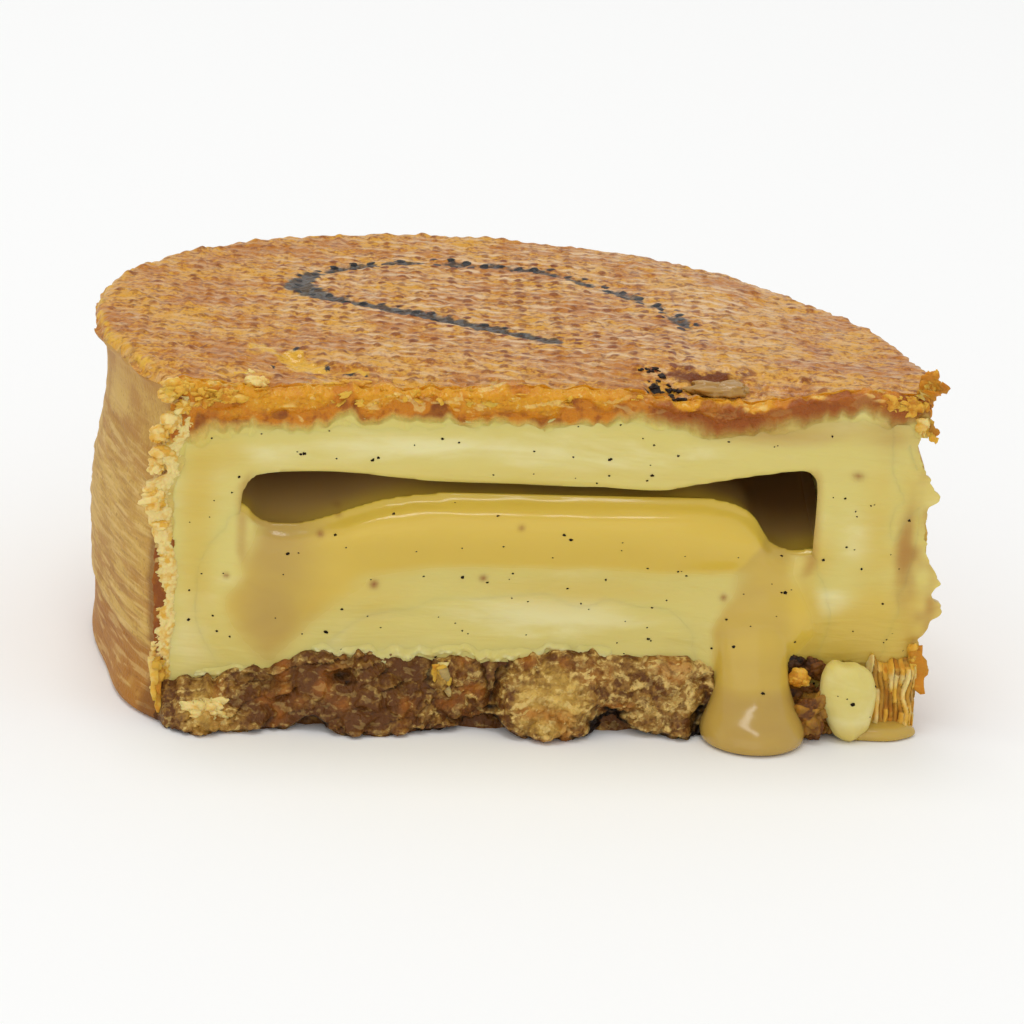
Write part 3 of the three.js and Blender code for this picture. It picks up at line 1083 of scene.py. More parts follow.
@dataclass(frozen=True)
class TartForm:
    """The sizes that the pieces share, in millimetres. Wall and foot are finer than in the solids."""

    long_radius: float = 54.8
    short_radius: float = 45.2
    long_axis_turn: float = math.radians(130)
    height: float = 42.2
    top_lean: float = 0.018
    cut_ahead: float = 22.4
    wall: float = 2.5
    wall_thinning: float = 0.5
    base_crust: float = 8.4
    rim_lip: float = 1.3
    foot_round: float = 0.9
    flare_out: float = 2.2
    foot_spread: float = 1.5
    corner_spread: float = 1.4
    pocket_share: float = 0.82
    pocket_shift: float = -2.0
    pocket_floor: float = 19.4
    pocket_ceiling: float = 29.2
    pocket_round: float = 2.6
    ceiling_line: tuple = (
        (-34, 29.4), (-31, 30.1), (-25, 30.7), (-17, 30.4), (-9, 29.8), (1, 29.7), (9, 29.6),
        (17, 29.2), (22, 30.1), (29, 31.4), (36, 32.3), (40, 32.4),
    )
    crust_line: tuple = (
        (-48, 35.0), (-38, 34.4), (-33, 36.3), (-25, 37.2), (-16, 37.6), (-7, 38.0), (2, 38.0),
        (12, 38.9), (21, 38.0), (26, 37.8), (33, 39.2), (40, 40.0), (46, 39.2), (52, 39.0),
    )

    def plan_radius(self, angle: Array) -> Array:
        """The oval's radius at an angle round the middle: ab / hypot(b cos, a sin)."""
        across = self.short_radius * np.cos(angle - self.long_axis_turn)
        along = self.long_radius * np.sin(angle - self.long_axis_turn)
        return self.long_radius * self.short_radius / np.hypot(across, along)

    def rim_distance(self, x: Array, y: Array) -> Array:
        """How far a place in plan lies inside the oval, along its own radius."""
        return self.plan_radius(np.arctan2(y, x)) - np.hypot(x, y)

    def flare(self, angle: Array, z: Array) -> Array:
        """How far the wall leans out towards the cut, less near the rim."""
        near_cut = rise(-self.plan_radius(angle) * np.sin(angle), 4, self.cut_ahead)
        left = rise(-np.cos(angle), 0.55, 0.95)
        spread = self.foot_spread * left * (1 - 0.25 * rise(z, 9, 16) - 0.47 * rise(z, 16, 34))
        spread = spread + self.corner_spread * bump(angle, 3.53, 0.2) * (1 - rise(z, 0.5, 7))
        return near_cut * self.flare_out * (1 - 0.5 * rise(z, 31, 35)) * (1 - 0.4 * left) + spread

    def wall_outline(self, t: Array) -> Array:
        """How far the wall stands out at a share t of its height: foot, belly, neck and rim lip."""
        foot = 0.3 * (1 - rise(t, 0, 0.08))
        belly = 0.8 * rise(t, 0.12, 0.42) * (1 - rise(t, 0.5, 0.76))
        neck = 0.3 * between(t, 0.8, 0.86, 0.1)
        lip = self.rim_lip * rise(t, 0.95, 1)
        return foot + belly - neck + lip - self.rim_lip

    def roof(self, x: Array, y: Array) -> Array:
        """The height of the crust's ragged underside."""
        ragged = 0.4 * noise(x / 1.3, y / 2.2, 3) + 0.3 * noise(x / 4, y / 4, 4)
        return along_path(x, self.crust_line) + ragged

    def base_top(self, x: Array, y: Array) -> Array:
        """The height of the base's upper side: thin at the left end, lumpy elsewhere."""
        taper = 0.5 + 0.5 * rise(x, -42, -14)
        uneven = 0.8 * noise(x / 6, y / 6, 8) + 0.45 * noise(x / 1.7, y / 1.7, 9)
        return self.base_crust * taper + uneven

    def ceiling(self, x: Array) -> Array:
        """The height of the pocket's ceiling: low in the middle, higher towards both ends."""
        return along_path(x, self.ceiling_line)

    def cut_relief(self, x: Array, z: Array) -> Array:
        """How far the custard's front lies behind the plane of the cut: soft drags, less a swelling."""
        drag = 0.2 * noise(x / 14, z / 2.6, 71) + 0.14 * noise(x / 4, z / 3, 72)
        return drag - 0.5 * bump(z, 13, 4) * between(x, -18, 22, 8)

    def angles(self, count: int) -> Array:
        """Angles round the whole oval, evenly spread."""
        return np.linspace(0, 2 * np.pi, count, endpoint=False)

    def pocket(self, columns: int = 240, clear: float = 0.0) -> Surface:
        """The flat pocket in the custard: the oval made smaller, with rounded edges.

        Args:
            columns: Points round it.
            clear: How much smaller it is on every side.

        Returns:
            The pocket as a closed surface.
        """
        angle = self.angles(columns)
        low, high = self.pocket_floor + clear, self.pocket_ceiling - clear
        turn = np.linspace(0, np.pi / 2, 9)
        r = self.pocket_round
        shares = np.linspace(0.03, 1, 30)
        count = len(shares)
        out = [np.full(count, -r), -r + r * np.sin(turn[1:]), -r + r * np.cos(turn), np.full(count - 1, -r)]
        part = [shares, np.ones(8), np.ones(9), shares[-2::-1]]
        z = [
            np.full(count, low),
            low + r - r * np.cos(turn[1:]),
            high - r + r * np.sin(turn),
            np.full(count - 1, high),
        ]
        out, part, z = np.concatenate(out), np.concatenate(part), np.concatenate(z)
        radius = part[:, None] * (self.plan_radius(angle)[None] + out[:, None] - clear)
        x = radius * np.cos(angle) * self.pocket_share + self.pocket_shift
        y = radius * np.sin(angle) * self.pocket_share
        upper = rise(z, self.pocket_floor + 5, self.pocket_ceiling - 1)[:, None]
        lift = self.ceiling(x) - self.pocket_ceiling + 0.2 * noise(x / 7, y / 7, 21)
        return round_surface(np.stack([x, y, z[:, None] + upper * lift], axis=-1))

    def filling(self, columns: int = 320, grow: float = 0.0) -> Surface:
        """The space inside the case: floor, upright wall and roof.

        Args:
            columns: Points round it.
            grow: How much larger it is on every side.

        Returns:
            The space as a closed surface.
        """
        angle = self.angles(columns)
        shares = np.linspace(0.02, 1, 60)
        part = np.concatenate([shares, np.ones(14), shares[::-1]])
        t = np.concatenate([np.zeros(60), np.linspace(0, 1, 16)[1:-1], np.ones(60)])
        about = 6 + 32 * t[:, None]
        inset = self.wall + 0.25 * noise(8 * np.cos(angle) + about / 3, 8 * np.sin(angle), 22) - grow
        near_cut = rise(-self.plan_radius(angle) * np.sin(angle), 4, self.cut_ahead)
        left = rise(-np.cos(angle), -0.3, 0.3)
        high = rise(about, 28, 33)
        inset = inset - self.wall_thinning * near_cut * (1 - (1 - left) * high)
        inset = inset + 0.3 * high * (1 - near_cut * left)
        radius = part[:, None] * (self.plan_radius(angle)[None] + self.flare(angle, about) - inset)
        x, y = radius * np.cos(angle), radius * np.sin(angle)
        low, high = self.base_top(x, y) - grow, self.roof(x, y) + grow
        return round_surface(np.stack([x, y, low + (high - low) * t[:, None]], axis=-1))


class CaseFace(IntEnum):
    """The finishes of the case, in the order of its materials."""

    TOP = 0
    WALL = 1
    CUT = 2
    BASE = 3


@dataclass
class PastryCase:
    """The baked case: top crust, wall and base, torn at the cut."""

    form: TartForm
    columns: int = 460
    wall_rows: int = 130
    top_step: float = 0.27
    cut_step: float = 0.5
    peg_row: tuple[float, float] = (2.13, -0.82)
    peg_column: tuple[float, float] = (0.16, 2.2)
    peg_width: float = 0.68
    peg_height: float = 0.34
    gap_start: float = 24.0
    gap_end: float = 46.5
    seam_line: tuple = (
        (5.8, -4.4), (-0.5, 0.9), (-10, 7.6), (-17.1, 12.7), (-21.6, 16.2), (-24.4, 21.6),
        (-23.4, 26), (-20.2, 30.6), (-13, 34.3), (-4, 34.4), (6, 31), (14.2, 22.5), (20, 14.5),
        (22.6, 5), (22.6, -4), (18, -17),
    )
    tears: tuple[Spot, ...] = (
        Spot(-29.8, -9.0, 1.8, 3.2, 0.9), Spot(-26.4, -12.0, 2.4, 3.4, 1.1),
        Spot(-23.6, -15.6, 3.2, 2.2, 0.95), Spot(-18.4, -17.4, 3.6, 1.3, 0.75),
    )
    pits: tuple[Spot, ...] = (
        Spot(20.6, -19.6, 3.4, 2.0, 1.0), Spot(16.0, -19.4, 1.6, 2.2, 0.8),
    )
    burnt_bits: tuple[Spot, ...] = (
        Spot(-25.6, -9.0, 0.45, 0.7, 0.9), Spot(-28.4, -15.4, 0.35, 0.6, 0.8),
        Spot(-22.1, -15.7, 0.35, 0.6, 0.9), Spot(-19.5, -17.8, 0.7, 0.6, 0.9),
        Spot(-17.6, -18.2, 0.3, 0.5, 0.8),
    )

    def seam_distance(self, x: Array, y: Array) -> tuple[Array, Array]:
        """How far places in plan lie from the dark seam, and how far along it they are.

        Args:
            x: Places in plan.
            y: Places in plan.

        Returns:
            Distances, and shares of the seam's length from its inner end.
        """
        path = smooth_path(self.seam_line, 14)
        nearest = np.full(np.shape(x), 99.0)
        share = np.zeros(np.shape(x))
        for k, (px, py) in enumerate(path):
            distance = np.hypot(x - px, y - py)
            share = np.where(distance < nearest, k / len(path), share)
            nearest = np.minimum(nearest, distance)
        return nearest, share

    def mat_place(self, x: Array, y: Array) -> tuple[Array, Array]:
        """Places in plan as numbers along the mat's skewed rows and columns."""
        (ax, ay), (bx, by) = self.peg_row, self.peg_column
        area = ax * by - ay * bx
        return (by * x - bx * y) / area, (ax * y - ay * x) / area

    def pegs(self, x: Array, y: Array) -> tuple[Array, Array]:
        """The mat's print: a round peg at every crossing of its grid, a little out of place.

        Args:
            x: Places in plan.
            y: Places in plan.

        Returns:
            Each place's height on its peg, from 0 to 1, and the peg's own strength.
        """
        u, v = self.mat_place(x, y)
        i, j = np.round(u), np.round(v)
        du = u - i - 0.25 * (cell_values(i, j, 31) - 0.5)
        dv = v - j - 0.25 * (cell_values(i, j, 32) - 0.5)
        dx = self.peg_row[0] * du + self.peg_column[0] * dv
        dy = self.peg_row[1] * du + self.peg_column[1] * dv
        return bump(np.hypot(dx, dy), 0, self.peg_width), cell_values(i, j, 33)

    def front_sag(self, x: Array, y: Array) -> Array:
        """How far the top sinks towards the cut, most where it is burnt."""
        return (1.0 + 1.5 * bump(x, 26, 8)) * rise(-y, 13, self.form.cut_ahead + 0.5)

    def top_height(self, x: Array, y: Array) -> Array:
        """The height of the top: leaning, uneven, pegged, sunk along the seam, round-rimmed."""
        f = self.form
        peg, strength = self.pegs(x, y)
        tall = self.peg_height * (0.25 + 0.75 * strength) * (0.75 + 0.35 * rise(-x, -10, 30))
        uneven = 0.25 * noise(x / 9, y / 9, 11) + 0.14 * noise(x / 2.6, y / 1.3, 12)
        uneven = uneven + 0.13 * noise(x / 0.8, y / 0.7, 15)
        crater = 0.6 * together(self.tears, x, y) + 1.1 * together(self.pits, x, y)
        uneven = uneven - crater * (0.6 + 0.8 * noise(x / 1.8, y / 1.8, 16))
        far, _ = self.seam_distance(x, y)
        groove = 0.28 * bump(far, 0, 0.9)
        d = np.clip(f.rim_distance(x, y) + 0.35 * noise(x / 1.6, y / 1.6, 13) + 0.3, 0.0, 1.2)
        rim = 1.2 - np.sqrt(np.maximum(1.2**2 - (1.2 - d) ** 2, 0.0))
        torn = 0.5 * noise(x / 1.3, y / 1.3, 14) * rise(-y, 19, f.cut_ahead)
        level = f.height + f.top_lean * x + uneven + tall * peg + 0.6 * rise(-x, 28, 46)
        level = level - 1.3 * rise(x, 24, 46) * rise(y, -20, -6)
        return level - groove - rim - self.front_sag(x, y) + torn

    def layer_relief(self, x: Array, y: Array, z: Array) -> tuple[Array, Array]:
        """Ridges of the layers: each a slanting band with a step at its lower rim.

        Args:
            x: Places on the wall.
            y: Places on the wall.
            z: Places on the wall.

        Returns:
            How far the wall stands out, and how near a place is to a band's rim, from 0 to 1.
        """
        bend = 1.3 * noise(x / 16, y / 16, 41) + 0.5 * noise(x / 5, y / 5, 42) + 0.05 * x
        total, rims = 0.0, 0.0
        for pitch, depth, low, high, seed in ((2.9, 0.20, 9, 33, 43), (1.35, 0.20, 8, 27, 44)):
            phase = (z + bend) / pitch
            band = np.floor(phase)
            saw = phase - band
            there = rise(noise(x / 5 + 31 * band, y / 5 + 17 * band, seed), -0.35, 0.35)
            strength = there * between(z, low, high, 3)
            total = total + depth * strength * (0.5 - saw)
            rims = np.maximum(rims, strength * (1 - rise(saw, 0.08, 0.45)))
        foot = 0.45 * (1 - rise(z + 0.4 * bend, 6.6, 7.2)) + 0.3 * between(z, 7.2, 9, 0.4)
        return total - foot * 0.6, rims

    def body_surface(self) -> Surface:
        """The whole round before the cut, taller than the top so that the top can trim it."""
        f = self.form
        angle = f.angles(self.columns)
        turn = np.linspace(0, np.pi / 2, 8)
        t = np.linspace(0, 1, self.wall_rows)
        foot = f.wall_outline(np.zeros(1))[0]
        out = np.concatenate(
            [foot - f.foot_round * (1 - np.sin(turn[:-1])), f.wall_outline(t), [0.0, 0.0]]
        )
        top = f.height - 0.6
        z = np.concatenate(
            [
                f.foot_round * (1 - np.cos(turn[:-1])),
                f.foot_round + (top - f.foot_round) * t,
                [top + 1, top + 4],
            ]
        )[:, None]
        lip = 0.35 * rise(z, 39, 41) * noise(12 * np.cos(angle), 12 * np.sin(angle), 45)
        lip = lip + 0.3 * rise(z, 39, 41) * noise(30 * np.cos(angle), 30 * np.sin(angle), 46)
        radius = f.plan_radius(angle)[None] + out[:, None] + lip + f.flare(angle, z)
        x, y = radius * np.cos(angle), radius * np.sin(angle)
        stand, _ = self.layer_relief(x, y, np.broadcast_to(z, x.shape))
        grow = 1 + stand / radius
        return round_surface(np.stack([x * grow, y * grow, z * (1 + f.top_lean * x / f.height)], axis=-1))

    def top_surface(self) -> Surface:
        """A block under the top's relief, to trim the round with."""
        f = self.form
        x = np.arange(-54, 54 + self.top_step, self.top_step)
        y = np.arange(-f.cut_ahead - 9, 54, self.top_step)
        gx, gy = np.meshgrid(x, y)
        return slab_surface(np.stack([gx, gy, self.top_height(gx, gy)], axis=-1), 2, -9.0)

    def base_edge(self, x: Array) -> Array:
        """The height of the base at the cut."""
        return self.form.base_top(x, np.full_like(x, -self.form.cut_ahead)) + 0.7

    def torn_reach(self, x: Array, z: Array) -> Array:
        """How far the case stands in front of the cut, behind its torn crust and base."""
        low = 1 - rise(z - self.base_edge(x), -1.0, 0.3)
        in_gap = between(x, self.gap_start, self.gap_end, 1.2)
        ahead = 1.6 * (1 - z / 9) * (1 - in_gap) - 2.2 * in_gap
        crumbs = 0.5 * noise(x / 2.2, z / 1.8, 55) + 0.35 * noise(x / 0.9, z / 0.9, 56)
        crust = -1.1 * np.maximum(rise(z, 31, 35), rise(x, 38, 42)) + 0.2 * noise(x / 1.2, z / 1.2, 53)
        return low * (ahead + crumbs) + (1 - low) * crust

    def front_surface(self) -> Surface:
        """The block that is cut away in front, with the torn face as its back."""
        x = np.arange(-56, 56 + self.cut_step, self.cut_step)
        z = np.arange(-2, 48, self.cut_step)
        gx, gz = np.meshgrid(x, z)
        y = -self.form.cut_ahead - self.torn_reach(gx, gz)
        return slab_surface(np.stack([gx, y, gz], axis=-1), 1, FAR_AHEAD)

    def build(self) -> None:
        """The case as one closed piece, with its four finishes."""
        f = self.form
        finishes = [
            TopCrustFinish().material(),
            SideWallFinish().material(),
            CutCrustFinish().material(),
            TornBaseFinish().material(),
        ]
        case = make_object("pastry_case_baked", self.body_surface())
        coat_with(case, finishes, CaseFace.WALL)
        steps = (
            (self.top_surface(), Carving.KEEP_SHARED, CaseFace.TOP),
            (f.filling(), Carving.TAKE_AWAY, CaseFace.CUT),
            (self.front_surface(), Carving.TAKE_AWAY, CaseFace.CUT),
        )
        for surface, how, index in steps:
            tool = make_object("tool", surface)
            coat_with(tool, finishes, index)
            carve(case, tool, how)
        self.sort_cut_faces(case)
        shade_smooth(case.data, 55)
        self.mark_points(case)
        hand_over(case, ("pastry_case",))

    def sort_cut_faces(self, case: bpy.types.Object) -> None:
        """Puts the cut faces of the base on the base's own finish."""
        faces = case.data.polygons
        index = np.empty(len(faces), np.int32)
        faces.foreach_get("material_index", index)
        middle = np.empty(3 * len(faces), np.float32)
        faces.foreach_get("center", middle)
        x, y, z = middle.reshape(-1, 3).T.astype(float) / MM
        low = z < self.form.base_top(x, y) + 0.6
        index[(index == CaseFace.CUT) & low] = CaseFace.BASE
        faces.foreach_set("material_index", index)

    def mark_points(self, case: bpy.types.Object) -> None:
        """Stores the marks that the finishes read."""
        self.mark_top(case)
        f = self.form
        x, y, z = points_of(case).T
        _, rims = self.layer_relief(x, y, z)
        mark(case, "ledge", rims)
        # Painted shade in the gap between the wall and the left fringe, low down.
        gap_shade = (x < -39) * (1 - rise(z, 20, 26))
        mark(case, "recess_shade", gap_shade)
        # Painted shade along the wall's edge at the cut, stronger by the gap at the left end.
        mark(case, "crease_shade", rise(-y, f.cut_ahead - 1.6, f.cut_ahead - 0.4) * (0.25 + 0.45 * gap_shade) * (z < 37))
        mark(case, "upper", rise(z, f.roof(x, y) + 0.3, f.height - self.front_sag(x, y)))
        mark(case, "cover", np.where((np.abs(x) > 37) & (z < 37) & (gap_shade < 0.5), 0.35, 2.0))
        mark(case, "tone", 0.2 + 0.2 * noise(x / 1.5, z / 1.5, 65))
        # Darker where the base sits back behind the drip: its wet brown pastry, and painted shade in that
        # hollow.
        mark(case, "dark", 0.7 * between(x, self.gap_start, self.gap_end, 1.2))

    def mark_top(self, case: bpy.types.Object) -> None:
        """Stores the marks of the top crust."""
        f = self.form
        x, y, z = points_of(case).T
        rim = f.rim_distance(x, y)
        _, row = self.mat_place(x, y)
        mark(case, "row", row)
        peg, strength = self.pegs(x, y)
        far, share = self.seam_distance(x, y)
        near_seam = 0.4 * (1 - rise(far, 1.0, 5.0))
        middle = 0.35 * (1 - rise(np.hypot(x + 2, y - 10), 18, 34))
        mark(case, "middle", np.clip(2.2 * near_seam + 1.6 * middle * rise(strength, 0.45, 0.8), 0, 1))
        print_share = np.clip(rise(strength, 0.2, 0.95) + near_seam + middle, 0, 1)
        mark(case, "peg", rise(peg, 0.20, 0.85) * print_share)
        width = 1.55 + 1.3 * bump(share, 0.31, 0.06) + 0.45 * noise(x / 3, y / 3, 61)
        whole = 1 - rise(share, 0.37, 0.45)
        broken = 0.5 + 0.5 * rise(noise(70 * share, 0 * x, 67), -0.6, 0.1)
        strength = (0.8 + 0.2 * whole) * np.maximum(whole, broken) * (1 - rise(share, 0.84, 0.92))
        mark(case, "seam", (1 - rise(far, 0.15 * width, 1.3 * width)) * strength)
        near = (1 - rise(far, 1.0, 2.4)) * rise(share, 0.02, 0.06) * (1 - rise(share, 0.86, 0.96))
        mark(case, "soot", rise(peg, 0.25, 0.65) * near * rise(strength, 0.15, 0.5) * 0.95)
        # Where the pale smears are strongest: painted reflection on the glaze over the middle and far part of
        # the top.
        mark(case, "glaze_sheen", 0.25 + 0.75 * (1 - rise(np.hypot(x - 4, y - 16), 24, 44)))
        tear = together(self.tears, x, y) + 0.55 * layered_noise(x / 1.6, y / 2.0, 62)
        tear = rise(tear, 0.40, 0.95) * (z > 38)
        mark(case, "tear", tear)
        burn = bump(x, 16.2, 2.1) * bump(y, -20.0, 2.8) + 0.5 * noise(x / 1.1, y / 1.1, 63)
        bits = together(self.burnt_bits, x, y)
        mark(case, "burn", np.maximum(rise(burn, 0.5, 0.8), bits) * (z > 37))
        brown = bump(x, 22.5, 4.8) * bump(y, -17.0, 1.8) + 0.4 * noise(x / 1.6, y / 1.6, 66)
        browned = rise(brown, 0.15, 0.9) * (z > 37)
        mark(case, "browned", browned)
        mark(case, "wet", np.maximum(0.30 + 0.35 * rise(x, 0, 30), 1.2 * tear) * (1 - 0.85 * browned))
        front = rise(-y, f.cut_ahead - 1.6, f.cut_ahead - 0.4) * rise(z, 38.4, 39.4)
        bright = np.maximum((1 - rise(rim, 0.1, 1.0)) * rise(z, 40.6, 41.4), front)
        bright = bright * (0.25 + 0.75 * rise(-x, -16, 2))
        mark(case, "rim", bright * rise(noise(x / 1.6, y / 1.6, 64), -0.6, 0.2))


@dataclass
class TornCrust:
    """The front of the top crust: one finely torn band that melts into the custard below it."""

    case: PastryCase
    custard: Custard
    step: float = 0.19
    rows: int = 56
    left: float = -40.2
    right: float = 48.4
    drop: float = 2.6
    depth: float = 3.2

    def build(self) -> None:
        """A grid from below the crust's underside to the top's front edge, thick towards the back."""
        f = self.case.form
        x = np.arange(self.left, self.right, self.step)[None]
        t = np.linspace(0, 1, self.rows)[:, None]
        back = -f.cut_ahead + 0.9
        top = self.case.top_height(x, np.full_like(x, back)) - 0.12 + 0.22 * noise(x / 0.7, 0 * x, 111)
        low = f.roof(x, np.full_like(x, -f.cut_ahead)) - self.drop + 0.3 * noise(x / 4, 0 * x, 112)
        z = low + t * (top - low)
        x = x + 0 * z
        baked = rise(x, 6, 20)
        upper = rise(t + 0.45 * noise(x / 3.4, z / 2.2, 113) - 0.10 * baked, 0.58, 0.94)
        grains, own = crumbs(x / 0.85, z / 0.6, 0.5, 114)
        grains = grains * (0.3 + 0.7 * own)
        ribs = noise((x + 0.6 * z) / 1.1, z / 3.4, 115)
        # Pits below the upper edge: sunk into the crust, and given painted shade.
        pits = rise(noise(x / 2.3, z / 1.5, 116), 0.12, 0.55) * (1 - upper)
        shelf = (0.55 - 0.2 * baked) * upper * (0.7 + 0.5 * noise(x / 3.5, z / 3, 117))
        reach = 0.2 + shelf + (0.08 + 0.2 * upper) * grains + 0.25 * ribs * (1 - upper) - 0.5 * pits
        emerged = rise(t, 0.0, 0.45)
        reach = soft_max(reach, 0.12 - 0.5 * upper, 0.1) * emerged - 0.12 * (1 - emerged)
        y = -f.cut_ahead + f.cut_relief(x, z) * (1 - upper) - reach + rise(t, 0.84, 1) ** 2
        dappled = 0.80 + 0.45 * rise(noise(x / 3.4, z / 2.6, 194), -0.35, 0.35)
        start = 0.22 + 0.13 * noise(x / 3.2, 0 * x, 118) + 0.08 * noise(x / 0.9, z / 2.5, 119)
        marks = {
            "upper": upper * rise(t, 0.3, 0.75),
            "recess_shade": np.clip(pits * 0.9 - 0.1, 0, 1) * (1 - 0.5 * baked),
            "cover": np.clip((t - start) / (0.26 + 0.20 * baked), 0, 1.3),
            "russet": baked * dappled * (1 - rise(t + 0.2 * noise(x / 2.2, z / 3, 193), 0.90, 1.06)),
        }
        marks.update(self.custard.patches(x, z))
        finish = CutCrustFinish().material()
        rear = -f.cut_ahead + self.depth
        slab_piece("torn_crust", (x, y, z), rear, finish, marks, {"cover": 1.0})


@dataclass
class TornBase:
    """The front of the base: one finely torn, crumbly mass that spreads towards the table."""

    case: PastryCase
    step: float = 0.17
    rows: int = 66
    left: float = -41.2
    right: float = 25.6
    depth: float = 4.5
    foot_line: tuple = (
        (-42, 2.8), (-40.6, 3.4), (-37.7, 5.9), (-32.4, 5.0), (-24.2, 4.6), (-18.9, 6.0),
        (-12.4, 5.3), (-4, 3.2), (1.1, 5.8), (10.1, 5.8), (16.3, 4.2), (21.9, 5.6), (26, 4.2),
    )
    clumps: tuple[Spot, ...] = (
        Spot(-35.2, 2.2, 3.4, 2.8, 1.0), Spot(5.2, 4.2, 5.6, 4.4, 1.0),
        Spot(-7.6, 6.6, 1.1, 2.2, 0.8), Spot(19, 4.5, 4.5, 4.0, 0.35),
    )
    dents: tuple[Spot, ...] = (
        Spot(-11.4, 7.0, 2.4, 1.5, 4.6), Spot(-23, 0.2, 2.4, 1.1, 2.2),
        Spot(-2.4, 0.4, 2.8, 1.3, 3.0), Spot(12.2, 1.7, 2.3, 1.7, 4.0),
        Spot(-29.5, 5.4, 2.0, 0.9, 1.6), Spot(-1.0, 7.6, 1.6, 0.9, 2.4),
        Spot(23.4, 2.0, 1.4, 2.6, 2.4), Spot(-1.6, 4.6, 0.8, 2.4, 2.8),
        Spot(-19.5, 6.0, 1.2, 0.8, 1.6),
    )
    pale_layer: Spot = Spot(20.0, 8.1, 4.6, 0.9, 1.0)
    # A slit above the pale layer: sunk, and painted dark as its shade.
    shaded_slit: Spot = Spot(18.4, 9.4, 4.6, 0.4, 1.0)
    gaps: tuple[tuple[float, float, float], ...] = ((-22.8, 1.8, 1.4), (-2.0, 2.2, 1.9), (13.4, 2.6, 1.3))

    def relief(self, x: Array, z: Array) -> tuple[Array, Array, Array]:
        """Chunks made of crumbs made of grains; smeared ledges on the left half instead of grains."""
        wx = x + 0.8 * noise(x / 2.0, z / 2.0, 101)
        wz = z + 0.8 * noise(x / 2.0, z / 2.0, 102)
        chunk, chunk_own = crumbs(wx / 3.6, wz / 2.6, 0.5, 103)
        crumb, crumb_own = crumbs(wx / 1.15, wz / 0.9, 0.6, 104)
        grain, grain_own = crumbs(x / 0.5, z / 0.42, 0.55, 105)
        smeared = between(x, -31, -13, 3) * 0.85
        slant = z - 0.35 * x + 1.2 * noise(x / 5, z / 3, 106)
        saw = slant / 1.9 - np.floor(slant / 1.9)
        ledge = (1 - saw) * rise(noise(x / 4, z / 2, 107), -0.3, 0.3)
        out = 0.9 * chunk * (0.3 + 0.7 * chunk_own)
        out = out + (1 - smeared) * (0.6 * crumb * (0.1 + 0.9 * crumb_own) + 0.35 * grain * grain_own)
        out = out + smeared * 1.1 * ledge + 0.25 * noise(x / 0.7, z / 0.6, 108)
        tone = (1 - smeared) * (0.55 * crumb_own + 0.35 * grain_own) + smeared * (0.25 + 0.4 * ledge)
        cracks = (1 - chunk) * 0.5 + (1 - smeared) * (1 - crumb) * 0.25 + smeared * 0.5 * rise(saw, 0.75, 1)
        return out, tone, cracks

    def build(self) -> None:
        """A grid from the table, or a gap above it, to the base's top, thick towards the back."""
        f = self.case.form
        x = np.arange(self.left, self.right, self.step)[None]
        t = np.linspace(0, 1, self.rows)[:, None]
        low = 0.03 + sum(lift * bump(x, middle, half) for middle, half, lift in self.gaps)
        top = self.case.base_edge(x) + 0.3 + 0.5 * noise(x / 0.8, 0 * x, 121)
        z = low + t * (top - low)
        x = x + 0 * z
        out, tone, cracks = self.relief(x, z)
        foot = along_path(x, self.foot_line)
        clump = together(self.clumps, x, z)
        layer = self.pale_layer.share(x, z)
        reach = foot * (1 - t) ** 0.7 + 1.6 * clump + out * (0.55 + 0.45 * (1 - t)) - 0.5
        reach = reach - together(self.dents, x, z) + 0.9 * layer - 2.0 * self.shaded_slit.share(x, z)
        reach = reach - 1.3 * rise(t, 0.9, 1) ** 2 - 1.2 * (1 - rise(t, 0, 0.12)) ** 2
        ends = 1 - rise(x, self.left, self.left + 1.2) * (1 - rise(x, self.right - 1.0, self.right))
        y = -f.cut_ahead - reach + 1.8 * ends
        # Painted shade: near-black in the cracks, the dents, the slit and the gaps along the table, less on
        # the clumps.
        dent_shade = together(self.dents, x, z) / 3.0 + self.shaded_slit.share(x, z)
        dark = np.clip(0.95 * cracks - 0.35 + dent_shade + 0.5 * (1 - rise(t, 0, 0.15)) - 0.3 * clump, 0, 0.95)
        tone = 0.88 * tone + 0.01 + 0.5 * layer + 0.20 * np.clip(clump, 0, 1) + 0.06 * rise(x, 2, 12)
        tone = tone - 0.12 * between(x, -30, -4, 3)
        marks = {
            "tone": tone,
            "dark": dark,
            # Clumps: paler crumb, and painted light where they stand forward.
            "light": np.clip(clump, 0, 1),
            "warm": 0.8 * (0.5 + 0.5 * noise(x / 2.4, z / 1.7, 122)),
        }
        finish = TornBaseFinish().material()
        slab_piece("torn_base", (x, y, z), -f.cut_ahead + self.depth, finish, marks, {})


RUSTY = (
    Spot(-22.5, 23.4, 0.42, 0.36, 0.8), Spot(-16, 17.3, 0.5, 0.5, 1.0),
    Spot(-33.3, 18, 0.36, 0.32, 0.8), Spot(0.8, 25.2, 0.40, 0.36, 0.7),
    Spot(-3.2, 18.3, 0.42, 0.40, 0.9), Spot(40.5, 31.7, 0.65, 0.45, 0.8),
    Spot(25.4, 16.6, 0.40, 0.42, 0.8), Spot(-20.5, 25.4, 0.5, 0.3, 0.5),
)


